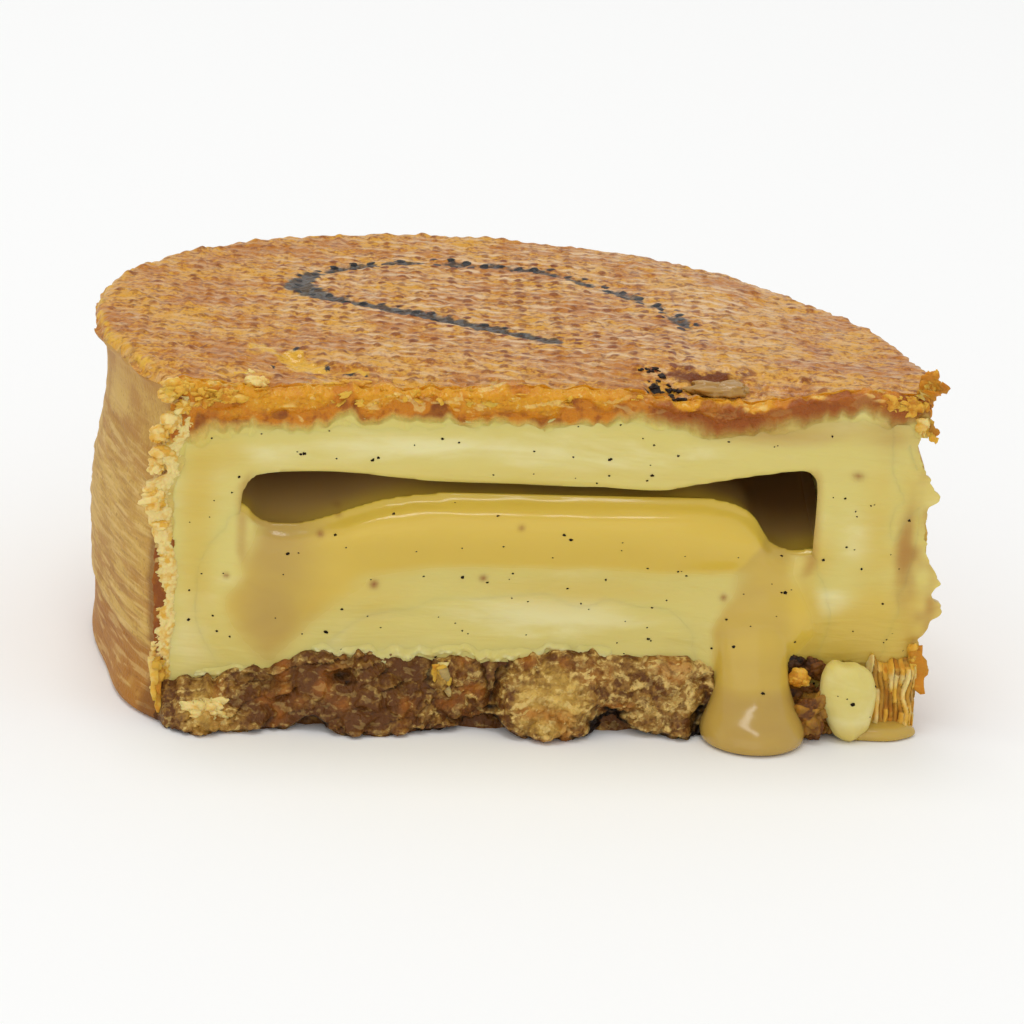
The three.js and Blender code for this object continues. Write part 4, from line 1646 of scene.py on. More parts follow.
@dataclass
class Custard:
    """The set filling, with its flat cut and the mouth of the pocket."""

    form: TartForm
    step: float = 0.45
    lip_round: float = 0.8
    mouth_round: float = 2.0
    press: float = 0.12
    mouth_left: float = -31.5
    mouth_right: float = 35.7
    stains: tuple[Spot, ...] = (
        Spot(-36.8, 24, 2.6, 14, 0.75), Spot(-33, 33.5, 3.0, 3.0, 0.45),
        Spot(43.6, 25, 3.4, 10, 0.6), Spot(44, 11, 6, 6, 0.9), Spot(38, 9.5, 6, 4.0, 1.1),
        Spot(35.2, 15, 1.8, 5, 0.8), Spot(36.6, 22, 2.4, 3, 0.6), Spot(0, 31.2, 34, 1.2, 0.35),
        Spot(-30, 10, 7, 6, 0.4), Spot(8, 17, 20, 2.6, 0.5), Spot(-16, 14, 6, 4, 0.4),
    )
    ambers: tuple[Spot, ...] = (
        Spot(24, 37.0, 9, 1.7, 0.35), Spot(34, 36.8, 11, 2.2, 0.40),
        Spot(44.5, 36, 3.5, 3.2, 0.45), Spot(46.8, 22.4, 1.4, 6.0, 0.9),
        Spot(-35, 36, 4, 1.2, 0.4), Spot(0, 38.4, 40, 0.7, 0.3),
    )
    # Pale smears; the one below the tongue, on the bulge, and the one right of the drip are painted
    # highlight.
    pale_smears_and_sheen: tuple[Spot, ...] = (
        Spot(2, 13.6, 13, 2.6, 0.5), Spot(-6, 34.2, 22, 1.8, 0.35), Spot(-37, 11, 2.4, 5, 0.4),
        Spot(41, 24, 2.6, 4, 0.35), Spot(38.0, 16.2, 3.4, 1.8, 0.7), Spot(-29, 32.6, 3, 1.4, 0.3),
    )

    def patches(self, x: Array, z: Array) -> dict[str, Array]:
        """How strong each kind of patch is at places on the cut, by the names of the marks."""
        soaked = 0.3 * rise(x, 45, 48) + 0.1 * noise(x / 1.6, z / 2.4, 143) * rise(x, 42, 45)
        browned = 0.3 * rise(x, 46, 49) * (1 + noise(x / 1.2, z / 1.6, 144))
        browned = browned + 0.6 * bump(self.mouth_distance(x, z), 0.0, 1.1) * rise(np.abs(x - 2), 31, 34)
        return {
            "stain": together(self.stains, x, z) + soaked,
            "amber": together(self.ambers, x, z) + browned,
            "pale": together(self.pale_smears_and_sheen, x, z),
        }

    def mouth_distance(self, x: Array, z: Array) -> Array:
        """How far places on the cut lie outside the pocket's mouth, as a rounded slot."""
        low, high = self.form.pocket_floor, self.form.ceiling(x)
        left, right = self.mouth_left, self.mouth_right
        r = self.mouth_round
        qx = np.abs(x - (left + right) / 2) - (right - left) / 2 + r
        qz = np.abs(z - (low + high) / 2) - (high - low) / 2 + r
        outside = np.hypot(np.maximum(qx, 0), np.maximum(qz, 0))
        return outside + np.minimum(np.maximum(qx, qz), 0) - r

    def front_surface(self) -> Surface:
        """What is cut away in front: soft drags of the knife, turned back round the mouth."""
        f = self.form
        x = np.arange(-54, 54 + self.step, self.step)
        z = np.arange(-2, 46, self.step)
        gx, gz = np.meshgrid(x, z)
        d = np.clip(self.mouth_distance(gx, gz), 0, self.lip_round)
        turned = self.lip_round - np.sqrt(self.lip_round**2 - (self.lip_round - d) ** 2)
        y = -f.cut_ahead + f.cut_relief(gx, gz) + 0.8 * turned
        return slab_surface(np.stack([gx, y, gz], axis=-1), 1, FAR_AHEAD)

    def build(self) -> bpy.types.Object:
        """The custard as one closed piece.

        Returns:
            The finished piece.
        """
        f = self.form
        piece = make_object("custard_filling", f.filling(grow=self.press))
        carve(piece, make_object("tool", self.front_surface()), Carving.TAKE_AWAY)
        carve(piece, make_object("tool", f.pocket()), Carving.TAKE_AWAY)
        coat_with(piece, [CustardFinish().material()])
        shade_smooth(piece.data, 60)
        x, y, z = points_of(piece).T
        for name, values in self.patches(x, z).items():
            mark(piece, name, values)
        mark(piece, "rust", together(RUSTY, x, z) * (y + f.cut_ahead < 3))
        # Painted shade inside the pocket's mouth, growing over the first millimetres back from the cut.
        in_mouth = rise(-self.mouth_distance(x, z), -0.6, 0.4)
        mark(piece, "inside", in_mouth * rise(y + f.cut_ahead, 0.8, 4.0))
        hand_over(piece, ("custard",))
        return piece


@dataclass
class CustardHem:
    """Ragged custard that hangs a little way over the base."""

    case: PastryCase
    custard: Custard
    step: float = 0.17
    rows: int = 22
    left: float = -37.6
    right: float = 13.4
    overlap: float = 2.2
    depth: float = 1.2

    def build(self) -> None:
        """A strip whose lower edge is torn: its drop is two sizes of noise, never below zero."""
        f = self.case.form
        x = np.arange(self.left, self.right, self.step)[None]
        t = np.linspace(0, 1, self.rows)[:, None]
        drop = 0.9 * noise(x / 2.8, 0 * x, 161) + 0.7 * noise(x / 0.8, 0 * x, 162)
        drop = np.maximum(drop + 0.5 * bump(x, -12, 6), -0.4) + 0.5
        top = self.case.base_edge(x) + self.overlap
        z = top - t * (self.overlap + drop)
        x = x + 0 * z
        grains, own = crumbs(x / 0.8, z / 0.6, 0.5, 163)
        grains = grains * own
        out = 0.55 * rise(t, 0.05, 0.8) + 0.3 * grains * rise(t, 0.4, 0.9) + 0.12 * noise(x / 2, z / 1.2, 164)
        out = out - 0.9 * rise(t, 0.85, 1) ** 2
        ends = 1 - rise(x, self.left, self.left + 1.5) * (1 - rise(x, self.right - 1.5, self.right))
        y = -f.cut_ahead + f.cut_relief(x, z) + 0.35 - out * (1 - ends)
        marks = self.custard.patches(x, z)
        marks["pale"] = marks["pale"] + 0.3 * rise(t, 0.5, 0.9) * (0.5 + own)
        browned = rise(noise(x / 3.0, z / 2, 165), 0.25, 0.6) * rise(t, 0.6, 0.9)
        marks["amber"] = marks["amber"] + 0.5 * browned
        finish = CustardFinish().material()
        slab_piece("custard_hem", (x, y, z), -f.cut_ahead + self.depth, finish, marks, {})


@dataclass(frozen=True)
class Flow:
    """A run of caramel on the cut: its outline in x and z, its thickness, and how softly it thins."""

    outline: tuple
    thick: float
    soft: float

    def thickness(self, x: Array, z: Array) -> Array:
        """thick * (1 - exp(-(depth / soft)^2)), and below zero further out than half a softness."""
        inside = depth_inside(x, z, smooth_path(self.outline, 6, closed=True)) + 0.5 * self.soft
        full = self.thick * (1 - np.exp(-((np.maximum(inside, 0) / self.soft) ** 2)))
        return np.where(inside > 0, full, -0.06 * inside**2)


TONGUE = Flow(
    (
        (-30.6, 30), (-31.0, 25), (-32.6, 20.5), (-34.4, 15.0), (-32.4, 8.6), (-28.4, 5.8),
        (-24.4, 7.8), (-21.6, 12.0), (-15.0, 15.6), (-7.1, 17.4), (5.9, 17.8), (18, 17.6),
        (25, 17.8), (29.0, 19.4), (30.8, 22.6), (29.0, 26), (22, 31), (0, 32), (-20, 31),
    ),
    1.0,
    4.4,
)
RIGHT_RUN = Flow(
    (
        (27.0, 24), (34.6, 24), (35.0, 20), (35.8, 17), (36.8, 14), (36.8, 11.6), (35.2, 9.4),
        (34.4, 7), (34.4, 4), (36, -4), (23.6, -4), (24.2, 4.6), (24.0, 9), (24.2, 13.5),
        (25.6, 17.5),
    ),
    1.9,
    3.0,
)
NOSE = Flow(
    (
        (14, 20.5), (22, 19.6), (27, 19.8), (29.4, 21.4), (30.4, 23.6), (29.6, 26), (24, 30),
        (14, 30),
    ),
    2.1,
    2.8,
)


@dataclass
class Caramel:
    """The runny centre: what is left in the pocket, the runs on the cut and the drip."""

    form: TartForm
    custard: Custard
    voxel: float = 0.33
    drip_x: float = 29.4
    drip_foot: float = 6.3
    lip_roll: float = 2.6
    puddle_x: float = 44.4
    puddle_ahead: float = 1.7
    puddle_flatness: float = 0.62
    ease_rounds: int = 12
    floor_line: tuple = (
        (-36, 26.5), (-31.6, 25.4), (-29.4, 23.5), (-25.5, 23.2), (-21.4, 24.2), (-17, 25.8),
        (-13.3, 26.7), (-8.7, 27.2), (0, 27.3), (10, 27.3), (19, 27.5), (22.5, 27.4),
        (25.2, 27.0), (27.4, 26.2), (28.8, 25.0), (29.8, 23.4), (30.8, 22.0), (33.1, 21.2),
        (35.7, 21.4), (40, 22.0),
    )

    def held_surface(self) -> Surface:
        """The caramel left in the pocket: its surface climbs from the lip to the ceiling."""
        f = self.form
        x = np.arange(-48, 48, 0.6)
        y = np.arange(-f.cut_ahead + 0.1, 48, 0.6)
        gx, gy = np.meshgrid(x, y)
        floor = along_path(gx, self.floor_line)
        back = 8 + 4 * (1 - rise(gx, -22, -10)) + 16 * rise(gx, 20, 30)
        climb = rise(gy + f.cut_ahead, 0.08 * back, 1.5 * back)
        z = floor + (f.ceiling(gx) + 0.6 - floor) * climb + 0.1 * noise(gx / 5, gy / 5, 81)
        return slab_surface(np.stack([gx, gy, z], axis=-1), 2, f.pocket_floor - 4)

    def runs_thickness(self, x: Array, z: Array) -> Array:
        """How thick the runs lie on the cut where they flow together, before they roll at the lip."""
        swell = 0.75 + 1.6 * rise(z, 17.5, 25) * between(x, -18, 29, 5) + 0.5 * (1 - rise(x, -24, -16))
        tongue = TONGUE.thickness(x, z)
        tongue = np.where(tongue > 0, tongue * swell, tongue)
        run = RIGHT_RUN.thickness(x, z)
        run = np.where(run > 0, run * (1 - 0.45 * rise(z, 13, 19)), run)
        nose = NOSE.thickness(x, z)
        return soft_max(soft_max(tongue, run, 0.9), nose, 0.5)

    def coat_thickness(self, x: Array, z: Array) -> Array:
        """How thick the caramel lies on the cut, rolled over at the lip.

        The roll is a quarter circle below the lip: sqrt(1 - (1 - s)^2), where s is the distance
        below the lip as a share of the roll's radius.
        """
        thick = self.runs_thickness(x, z)
        below = along_path(x, self.floor_line) - z
        s = np.clip(below / self.lip_roll, 0, 1)
        roll = np.sqrt(1 - (1 - s) ** 2)
        rolled = np.where(thick > 0, thick * roll, thick)
        return np.where(below > 0, rolled, np.minimum(thick, 0.8 * below))

    def coat_surface(self) -> Surface:
        """The coat on the cut as a block that reaches a little way back into the custard."""
        f = self.form
        x = np.arange(-38, 50.5, 0.45)
        z = np.arange(0.2, 29, 0.45)
        gx, gz = np.meshgrid(x, z)
        thick = np.maximum(self.coat_thickness(gx, gz), -1.3) + 0.06 * noise(gx / 4, gz / 4, 82)
        y = -f.cut_ahead + f.cut_relief(gx, gz) * rise(thick, -0.8, -0.2) - thick
        return slab_surface(np.stack([gx, y, gz], axis=-1), 1, -f.cut_ahead + 5.0)

    def behind_surface(self) -> Surface:
        """A block behind the cut that trims the coat away where it has no thickness."""
        gx, gz = np.meshgrid(np.arange(-60, 60, 0.6), np.arange(-9, 50, 0.6))
        y = -self.form.cut_ahead + 1.0 + 3.0 * rise(self.coat_thickness(gx, gz), -0.5, 0.0)
        return slab_surface(np.stack([gx, y, gz], axis=-1), 1, 20.0)

    def drip_surface(self) -> Surface:
        """The drip: rings from its foot on the table up to the cut, narrow at the neck."""
        f = self.form
        z = np.array([0.0, 0.35, 1.0, 1.9, 2.9, 3.9, 5.0, 6.5, 8.5, 11, 14, 17])
        half = np.array([0.88, 0.98, 1.0, 0.985, 0.92, 0.84, 0.77, 0.70, 0.67, 0.68, 0.7, 0.5])
        half = self.drip_foot * half
        depth = np.array([5.6, 6.2, 6.4, 6.2, 5.5, 4.7, 4.0, 3.3, 2.6, 2.0, 1.3, 0.6])
        ahead = np.array([4.0, 4.0, 4.0, 3.9, 3.6, 3.1, 2.5, 1.8, 1.2, 0.7, 0.3, 0.0])
        angle = f.angles(48)
        x = self.drip_x + half[:, None] * np.cos(angle)
        y = -f.cut_ahead - ahead[:, None] + depth[:, None] * np.sin(angle)
        return round_surface(np.stack([x, y, np.broadcast_to(z[:, None], x.shape)], axis=-1))

    def puddle_surface(self) -> Surface:
        """The small puddle at the right end of the cut."""
        f = self.form
        z = np.array([0.0, 0.3, 0.8, 1.3, 1.7, 1.9])
        half = np.array([4.6, 5.0, 4.9, 4.4, 3.2, 1.5])
        angle = f.angles(36)
        wavy = half[:, None] * (1 + 0.07 * np.cos(3 * angle + 1) + 0.05 * np.cos(5 * angle))
        x = self.puddle_x + wavy * np.cos(angle)
        y = -f.cut_ahead - self.puddle_ahead + self.puddle_flatness * wavy * np.sin(angle)
        return round_surface(np.stack([x, y, np.broadcast_to(z[:, None], x.shape)], axis=-1))

    def build(self) -> bpy.types.Object:
        """The caramel, its parts fused and smoothed into one flow.

        Returns:
            The finished piece.
        """
        f = self.form
        held = make_object("held", self.held_surface())
        carve(held, make_object("tool", f.pocket(clear=-0.15)), Carving.KEEP_SHARED)
        piece = make_object("caramel_flow", self.coat_surface())
        carve(piece, make_object("tool", self.behind_surface()), Carving.TAKE_AWAY)
        for part in (self.drip_surface(), self.puddle_surface()):
            carve(piece, make_object("part", part), Carving.FUSE)
        carve(piece, held, Carving.FUSE)
        fuse = piece.modifiers.new("fuse", "REMESH")
        fuse.mode = "VOXEL"
        fuse.voxel_size = self.voxel * MM
        ease = piece.modifiers.new("ease", "SMOOTH")
        ease.factor = 0.5
        ease.iterations = self.ease_rounds
        settle(piece)
        points = points_of(piece)
        points[:, 2] = np.maximum(points[:, 2], ON_TABLE)
        move_points(piece, points)
        coat_with(piece, [CaramelFinish().material()])
        shade_smooth(piece.data)
        self.mark_points(piece)
        hand_over(piece, ("caramel",))
        return piece

    def mark_points(self, piece: bpy.types.Object) -> None:
        """Stores the marks that the finish reads."""
        f = self.form
        x, y, z = points_of(piece).T
        soft = 0.25 * layered_noise(x / 7, z / 3, 86) * rise(-z, -22, -18)
        body = rise(self.runs_thickness(x, z) + soft, 0.05, 1.25)
        in_mouth = between(x, -32.5, 36.5, 0.8) * rise(z, 18.4, 19.6) * rise(y + f.cut_ahead, -0.1, 0.7)
        drip = between(x, self.drip_x - 7, self.drip_x + 7, 0.5) * rise(-z, -9, -5)
        puddle = rise(-z, -3.4, -2.0)
        mark(piece, "body", np.maximum.reduce([body, in_mouth, drip, puddle]))
        ahead = np.maximum(TONGUE.thickness(x, z), NOSE.thickness(x, z))
        run = RIGHT_RUN.thickness(x, z)
        behind = rise(run - ahead, -0.5, 0.6) * rise(x, 18, 24) * rise(run, 0, 0.4) * (1 - rise(x, 32, 36))
        left = bump(x, -28, 6.5) * between(z, 7, 24, 3)
        mark(piece, "brown", np.maximum.reduce([0.45 * behind, 0.7 * left, 0.75 * drip, 0.6 * puddle]))
        for name, values in self.custard.patches(x, z).items():
            mark(piece, name, values)
        floor = along_path(x, self.floor_line)
        back = y + f.cut_ahead
        right = rise(x, 16, 33)
        # Painted shade in the pocket above the caramel's floor line, darker further back from the cut.
        dim = rise(back, 0.0, 14.0) * (1 - right) + rise(back, 2.0, 16.0) * right
        mark(piece, "inside", dim * rise(z - floor, -1.5, 0.5))
        mark(piece, "rust", together(RUSTY, x, z) * (back < 6))


@dataclass
class CustardLump:
    """A soft lump of custard: an uneven rounded block with its lower half narrowed."""

    form: TartForm
    centre: tuple[float, float, float] = (40.7, -26.0, 5.0)
    radii: tuple[float, float, float] = (3.3, 2.3, 4.9)
    lean: float = -0.5

    def build(self) -> bpy.types.Object:
        """The lump: a ball squared off by powers of its sines, swollen by two sizes of noise.

        Returns:
            The finished piece.
        """
        angle = self.form.angles(72)
        tilt = np.linspace(-np.pi / 2 + 0.05, np.pi / 2 - 0.05, 48)[:, None]
        flat = np.sign(np.sin(tilt)) * np.abs(np.sin(tilt)) ** 0.8
        wide = np.cos(tilt) ** 0.6
        x, y = wide * np.cos(angle), wide * np.sin(angle)
        z = np.broadcast_to(flat, x.shape)
        swell = 1 + 0.07 * noise(2 * x + 3, 2 * z + y, 91) + 0.02 * noise(5 * x + y, 5 * z, 92)
        taper = 1 - 0.22 * rise(-z, -0.2, 1)
        place = [
            self.centre[0] + self.radii[0] * x * swell * taper + self.lean * z,
            self.centre[1] + self.radii[1] * y * swell,
            np.maximum(self.centre[2] + self.radii[2] * z * swell, ON_TABLE),
        ]
        surface = round_surface(np.stack(place, axis=-1))
        height = surface.points[:, 2]
        marks = {"stain": 0.6 * rise(-height, -4, -0.5), "pale": np.full(len(height), 0.15)}
        finish = CustardFinish().material()
        return finished_piece("custard_lump_soft", surface, finish, marks, ("custard_lump",))


@dataclass
class Specks:
    """Vanilla seeds on the custard and the caramel."""

    on_cut: int = 160
    tries: int = 600
    seed: int = 7

    def build(self, hosts: list[bpy.types.Object]) -> None:
        """Seeds scattered over what faces the cut, each sunk half its depth into its host.

        Args:
            hosts: The pieces that they can lie on.
        """
        random = np.random.default_rng(self.seed)
        graph = bpy.context.evaluated_depsgraph_get()
        trees = [BVHTree.FromObject(host, graph) for host in hosts]
        tries = np.stack(
            [random.uniform(-38, 48, self.tries), random.uniform(1, 38, self.tries)], axis=1
        )
        spots = []
        for x, z in tries:
            hits = [tree.ray_cast(Vector((x, -70, z)) * MM, Vector((0, 1, 0)), 0.05) for tree in trees]
            hits = [hit for hit in hits if hit[0] is not None]
            if hits and len(spots) < self.on_cut:
                best = min(hits, key=lambda hit: hit[3])
                spots.append(np.array(best[0]) / MM)
        spots = np.array(spots)
        count = len(spots)
        size = 0.07 + 0.11 * random.random(count) ** 2.4
        radii = np.stack([size * (1 + 0.5 * random.random(count)), 0.6 * size, size], axis=1)
        surface = pebbles(random, spots, radii, 0.12)
        finished_piece("vanilla_specks", surface, SpeckFinish().material(), {})


def ball(columns: int, rows: int, end: float) -> tuple[Array, Array, Array]:
    """The points of a ball of radius 1, in rings.

    Args:
        columns: Points in a ring.
        rows: How many rings.
        end: The angle of the first and last ring from the equator.

    Returns:
        x, y and z, each as (rows, columns).
    """
    angle = np.linspace(0, 2 * np.pi, columns, endpoint=False)
    tilt = np.linspace(-end, end, rows)[:, None]
    return np.cos(tilt) * np.cos(angle), np.cos(tilt) * np.sin(angle), np.sin(tilt) + 0 * angle


def pebbles(random: np.random.Generator, spots: Array, radii: Array, rough: float) -> Surface:
    """Uneven lumps: a ball whose radius swells along a few waves of its own.

    Args:
        random: Where their shapes come from.
        spots: Their middles.
        radii: Their radii along the three axes.
        rough: How strong the waves are.

    Returns:
        All of them as one surface.
    """
    unit = round_surface(np.stack(ball(16, 11, 1.4), axis=-1))
    count = len(spots)
    waves = random.normal(0, 2.8, (count, 6, 3))
    starts = random.uniform(0, 6.28, (count, 6))
    swell = np.cos(np.einsum("nwk,pk->npw", waves, unit.points) + starts[:, None]).sum(axis=-1)
    placed = unit.points[None] * (1 + rough * swell)[..., None] * radii[:, None]
    return repeated(unit, spots[:, None] + placed)


def leaves(
    random: np.random.Generator,
    roots: Array,
    ahead: Array,
    aside: Array,
    length: Array,
    width: Array,
    thick: float,
    curl: float = 0.5,
) -> Surface:
    """Flat leaves with ragged outlines, as flattened rings from root to tip.

    Args:
        random: Where their outlines come from.
        roots: Where each starts.
        ahead: The way each points.
        aside: Roughly the way each is wide.
        length: How long each is.
        width: How wide each is.
        thick: Half their thickness at the root.
        curl: How far their tips can bend, as a share of their length.

    Returns:
        All of them as one surface.
    """
    count, rings, columns = len(roots), 8, 10
    ahead = ahead / np.linalg.norm(ahead, axis=1, keepdims=True)
    through = np.cross(ahead, aside)
    through = through / np.linalg.norm(through, axis=1, keepdims=True)
    aside = np.cross(through, ahead)
    t = np.linspace(0, 1, rings)
    angle = np.linspace(0, 2 * np.pi, columns, endpoint=False)
    outline = (1 - 0.3 * t**2)[None] * (0.5 + 0.7 * random.random((2, count, rings)))
    outline[:, :, -1] *= 0.45
    sway = 0.25 * (random.random((count, rings)) - 0.5)
    bend = curl * (2 * random.random(count) - 1)[:, None] * t[None] ** 2
    ripple = 0.2 * (random.random((count, rings)) - 0.5)
    spine = roots[:, None] + (length[:, None] * t[None])[..., None] * ahead[:, None]
    spine = spine + (width[:, None] * sway)[..., None] * aside[:, None]
    spine = spine + (length[:, None] * (bend + ripple))[..., None] * through[:, None]
    shape = np.sign(np.cos(angle)) * np.abs(np.cos(angle)) ** 0.8
    half = 0.5 * width[:, None, None] * np.where(shape > 0, outline[0][..., None], outline[1][..., None])
    ring = (half * shape)[..., None] * aside[:, None, None]
    slim = thick * (1 - 0.5 * t)[None, :, None] * np.sin(angle) + 0 * half
    points = spine[:, :, None] + ring + slim[..., None] * through[:, None, None]
    unit = round_surface(points[0])
    ends = np.stack([points[:, 0].mean(axis=1), points[:, -1].mean(axis=1)], axis=1)
    return repeated(unit, np.concatenate([points.reshape(count, -1, 3), ends], axis=1))


@dataclass(frozen=True)
class Cluster:
    """A handful of flakes: where they grow, which way they point, how large and how dark they are."""

    middle: tuple[float, float, float]
    spread: tuple[float, float, float]
    count: int
    ahead: tuple[float, float, float]
    aside: tuple[float, float, float]
    length: tuple[float, float]
    width: tuple[float, float]
    tone: float = 0.5
    dark: float = 0.0
    stray: float = 0.35
    thick: float = 0.16

    def grow(self, random: np.random.Generator) -> tuple[Surface, Array, Array]:
        """The flakes, and a tone and a darkness for each of their points."""
        n = self.count
        roots = np.array(self.middle) + random.uniform(-1, 1, (n, 3)) * np.array(self.spread)
        ahead = np.array(self.ahead) + self.stray * random.normal(0, 1, (n, 3))
        aside = np.array(self.aside) + self.stray * random.normal(0, 1, (n, 3))
        length = random.uniform(*self.length, n)
        width = random.uniform(*self.width, n)
        surface = leaves(random, roots, ahead, aside, length, width, self.thick)
        each = len(surface.points) // n
        tone = np.repeat(np.clip(self.tone + 0.22 * random.normal(0, 1, n), 0, 1), each)
        dark = np.repeat(np.clip(self.dark + 0.2 * random.normal(0, 1, n), 0, 1), each)
        return surface, tone, dark


@dataclass
class Flakes:
    """Torn flakes at the ends of the cut and along the crust's edge."""

    form: TartForm
    seed: int = 19
    edge_count: int = 44
    clusters: tuple[Cluster, ...] = (
        Cluster(
            (-41.2, -22.9, 7.4), (0.5, 0.3, 1.0), 6, (0, -0.05, -1), (1, 0, 0),
            (4.5, 7.0), (0.9, 1.4), 0.4, 0.0, 0.05,
        ),
        Cluster(
            (47.6, -22.2, 41.4), (0.5, 0.3, 0.6), 5, (0.6, -0.2, 0.8), (1, 0.3, -0.6),
            (1.7, 2.6), (1.6, 2.6), 0.05, 0.12, 0.2,
        ),
        Cluster(
            (47.8, -22.3, 38.6), (0.4, 0.3, 1.0), 5, (0.8, -0.2, -0.5), (0.4, 0, 1),
            (1.0, 2.0), (0.9, 1.6), 0.3, 0.1, 0.2,
        ),
        Cluster(
            (49.2, -22.8, 10.6), (0.3, 0.2, 0.3), 2, (0.25, -0.1, -1), (1, 0, 0.3),
            (4.2, 5.4), (1.5, 2.1), 0.25, 0.0, 0.06,
        ),
        Cluster(
            (-8.0, -24.0, 7.6), (0.8, 0.4, 0.6), 4, (0.1, -0.3, -1), (1, 0, 0),
            (2.0, 3.4), (1.0, 1.6), 0.5, 0.1, 0.2, 0.12,
        ),
    )

    def edge_leaves(self, random: np.random.Generator) -> tuple[Surface, Array, Array]:
        """Small flakes along the crust's upper edge, darker towards the right."""
        f = self.form
        count = self.edge_count
        x = random.uniform(-36, 15, count)
        z = f.height + f.top_lean * x - 1.4 - 1.5 * bump(x, 26, 8) + random.uniform(-0.9, 0.1, count)
        roots = np.stack([x, -f.cut_ahead + random.uniform(-0.5, 0.3, count), z], axis=1)
        ahead = random.normal(0, 0.5, (count, 3)) + [0, -0.6, -0.3]
        aside = random.normal(0, 0.3, (count, 3)) + [1, 0, 0]
        size = random.uniform(0.5, 1.2, count)
        leaf = leaves(random, roots, ahead, aside, size, random.uniform(0.7, 2.2, count), 0.12)
        each = len(leaf.points) // count
        right = rise(x, 12, 26)
        tone = random.uniform(0.05, 0.5, count) - 0.1 * right
        return leaf, np.repeat(tone, each), np.repeat(0.3 * right * random.random(count), each)

    def build(self) -> None:
        """All the flakes as one piece."""
        random = np.random.default_rng(self.seed)
        grown = [cluster.grow(random) for cluster in self.clusters] + [self.edge_leaves(random)]
        surfaces, tones, darks = zip(*grown)
        surface = joined(list(surfaces))
        surface.points[:, 2] = np.maximum(surface.points[:, 2], ON_TABLE)
        marks = {"tone": np.concatenate(tones), "dark": np.concatenate(darks)}
        finished_piece("pastry_flakes", surface, FlakeFinish().material(), marks)


